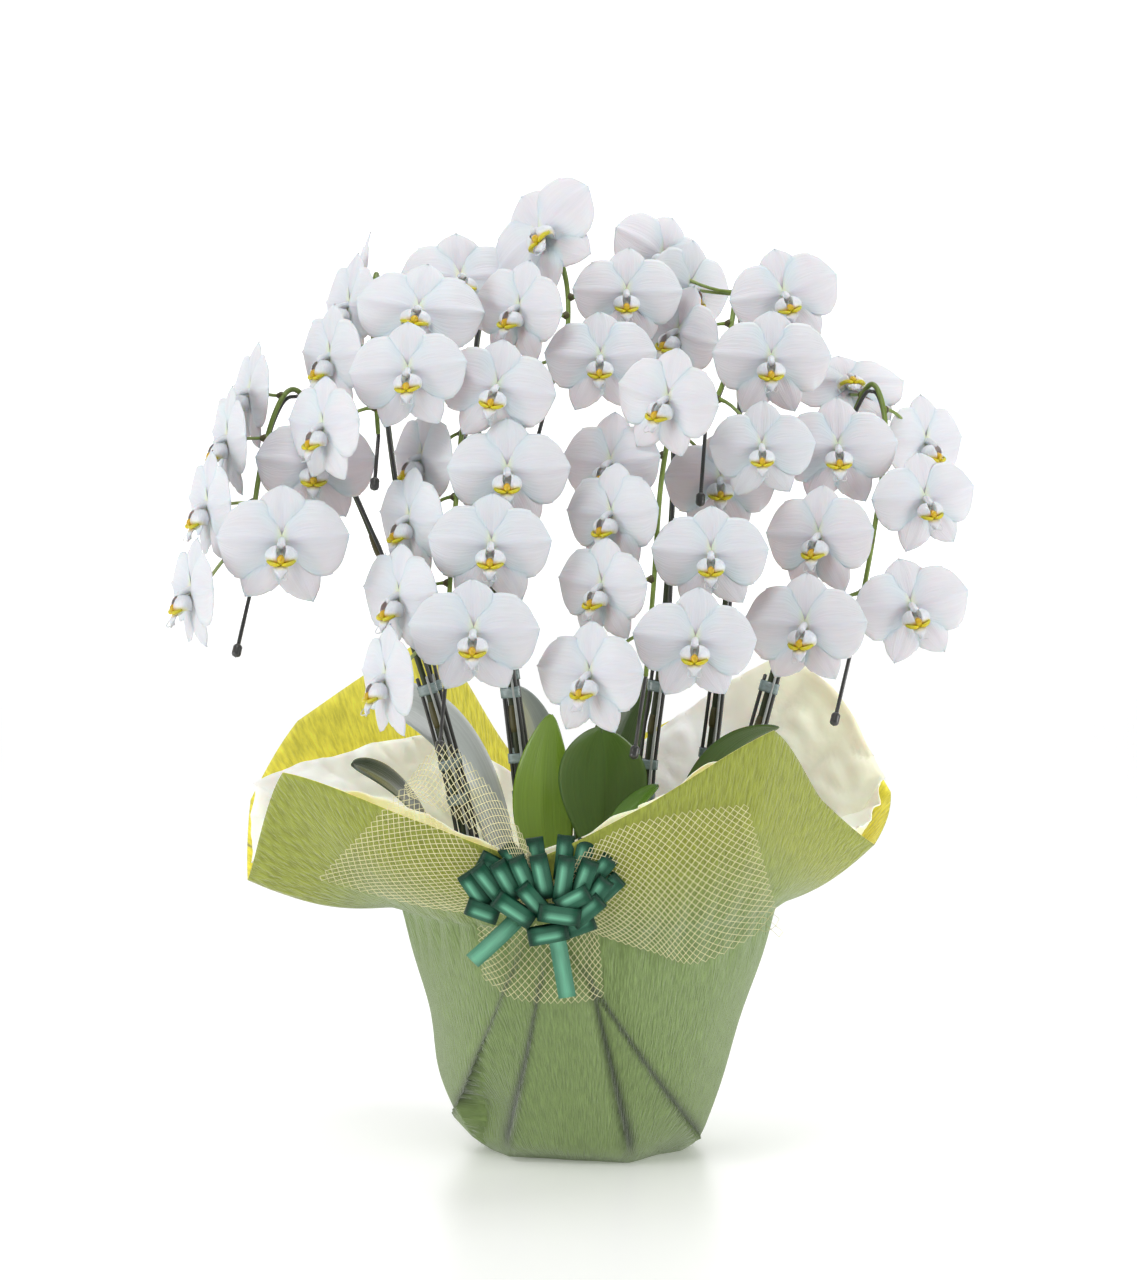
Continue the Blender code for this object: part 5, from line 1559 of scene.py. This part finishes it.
    def _tail(
        self,
        shape: Shape,
        surfaces: list[BVHTree],
        knot: np.ndarray,
        start: tuple[float, float],
        end: tuple[float, float],
    ) -> None:
        """Add one ribbon end that hangs in front of the wrapping."""
        head, foot = (np.array((x * CM, 0.0, z * CM + self.raised)) for x, z in (start, end))
        side = unit(np.cross(foot - head, (0.0, 1.0, 0.0))) * self.ribbon / 2
        rows = []
        for share in np.linspace(0.0, 1.0, 12):
            middle = head * (1 - share) + foot * share
            across = [float((middle + side * k)[0]) for k in (-1, 0, 1)]
            depth = min(front_of(surface, x, float(middle[2])) for surface in surfaces for x in across)
            depth = knot[1] * (1 - share) ** 3 + (depth - 0.003) * (1 - (1 - share) ** 3)
            row = [middle + side * k + (0.0, depth - 0.001 * (1 - k * k), 0.0) for k in np.linspace(-1, 1, 7)]
            rows.append(row)
        grid = np.array(rows)
        # painted highlight: a lighter stripe down the middle of each tail
        light = np.exp(-((np.linspace(-1, 1, 7) / 0.5) ** 2))[None, :] * np.ones((12, 1))
        shape.add_shell(grid, self.sheet, blend_paint(self.deep, self.bright, 0.35 + 0.5 * light))


# ---------------------------------------------------------------------------------------------------------------
# Studio
# ---------------------------------------------------------------------------------------------------------------


@dataclass
class Studio:
    """The plain pale floor, the soft lights and the camera."""

    target: tuple[float, float, float] = (-0.018, 0.0, 0.473)
    distance: float = 3.9
    elevation: float = 5.0
    frame_height: float = 1.187
    floor_glow: float = 0.13
    wall_glow: float = 0.78
    sky: float = 0.30
    # Each light's name, place, size and power
    lights: tuple[tuple[str, tuple[float, float, float], float, float], ...] = (
        ("key_light", (-0.7, -1.5, 2.8), 1.1, 32.0),
        ("left_softbox", (-2.5, -1.1, 0.8), 1.5, 32.0),
        ("right_softbox", (2.5, -0.9, 0.8), 1.5, 38.0),
        ("top_light", (0.5, 0.5, 2.7), 1.4, 24.0),
    )

    def _plane(self, name: str, corners: list[tuple[float, float, float]], glow: float, roughness: float) -> None:
        """Add one big pale plane: the floor, or the lit wall behind.

        Args:
            name: Its name.
            corners: Its four corners.
            glow: How brightly it shines by itself.
            roughness: How blurred its reflections are.
        """
        data = bpy.data.meshes.new(name)
        data.from_pydata(corners, [], [(0, 1, 2, 3)])
        made = bpy.data.materials.new(name)
        made.use_nodes = True
        shader = made.node_tree.nodes["Principled BSDF"]
        shader.inputs["Base Color"].default_value = linear("#F4F4F4")
        shader.inputs["Roughness"].default_value = roughness
        shader.inputs["Emission Color"].default_value = (1.0, 1.0, 1.0, 1.0)
        shader.inputs["Emission Strength"].default_value = glow
        data.materials.append(made)
        plane = bpy.data.objects.new(name, data)
        bpy.context.scene.collection.objects.link(plane)

    def _light(self, name: str, place: tuple[float, float, float], size: float, power: float) -> None:
        """Hang one square soft light that points at the plant."""
        data = bpy.data.lights.new(name, "AREA")
        data.size = size
        data.energy = power
        lamp = bpy.data.objects.new(name, data)
        lamp.location = place
        away = Vector(place) - Vector(self.target)
        lamp.rotation_euler = away.to_track_quat("Z", "Y").to_euler()
        bpy.context.scene.collection.objects.link(lamp)

    def build(self) -> None:
        """Set up the whole studio."""
        scene = bpy.context.scene
        low = -0.0006
        self._plane("studio_floor", [(-9, -9, low), (9, -9, low), (9, 6, low), (-9, 6, low)], self.floor_glow, 0.3)
        self._plane("studio_wall", [(-9, 6, low), (9, 6, low), (9, 6, 7), (-9, 6, 7)], self.wall_glow, 0.9)
        world = bpy.data.worlds.new("white_studio")
        world.use_nodes = True
        world.node_tree.nodes["Background"].inputs["Color"].default_value = (1.0, 1.0, 1.0, 1.0)
        world.node_tree.nodes["Background"].inputs["Strength"].default_value = self.sky
        scene.world = world
        for light in self.lights:
            self._light(*light)
        scene.view_settings.view_transform = "Standard"
        lens = bpy.data.cameras.new("camera")
        lens.sensor_fit = "VERTICAL"
        lens.angle = 2 * math.atan(self.frame_height / 2 / self.distance)
        camera = bpy.data.objects.new("camera", lens)
        tilt = math.radians(self.elevation)
        away = Vector((0.0, -math.cos(tilt), math.sin(tilt))) * self.distance
        camera.location = Vector(self.target) + away
        camera.rotation_euler = away.to_track_quat("Z", "Y").to_euler()
        scene.collection.objects.link(camera)
        scene.camera = camera


def main() -> None:
    """Build every part of the potted orchid and its studio, in order."""
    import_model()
    Studio().build()
    Pot().build()
    crepe, _ = Wrapping().build()
    net = NetRibbon().build(crepe)
    Bow().build(crepe, net)
    for leaf in LEAVES:
        leaf.build()
        LOG.info("leaf %s", leaf.name)
    for spike in SPIKES:
        spike.build()


if __name__ == "__main__":
    logging.basicConfig(level=logging.INFO, format="%(message)s")
    main()
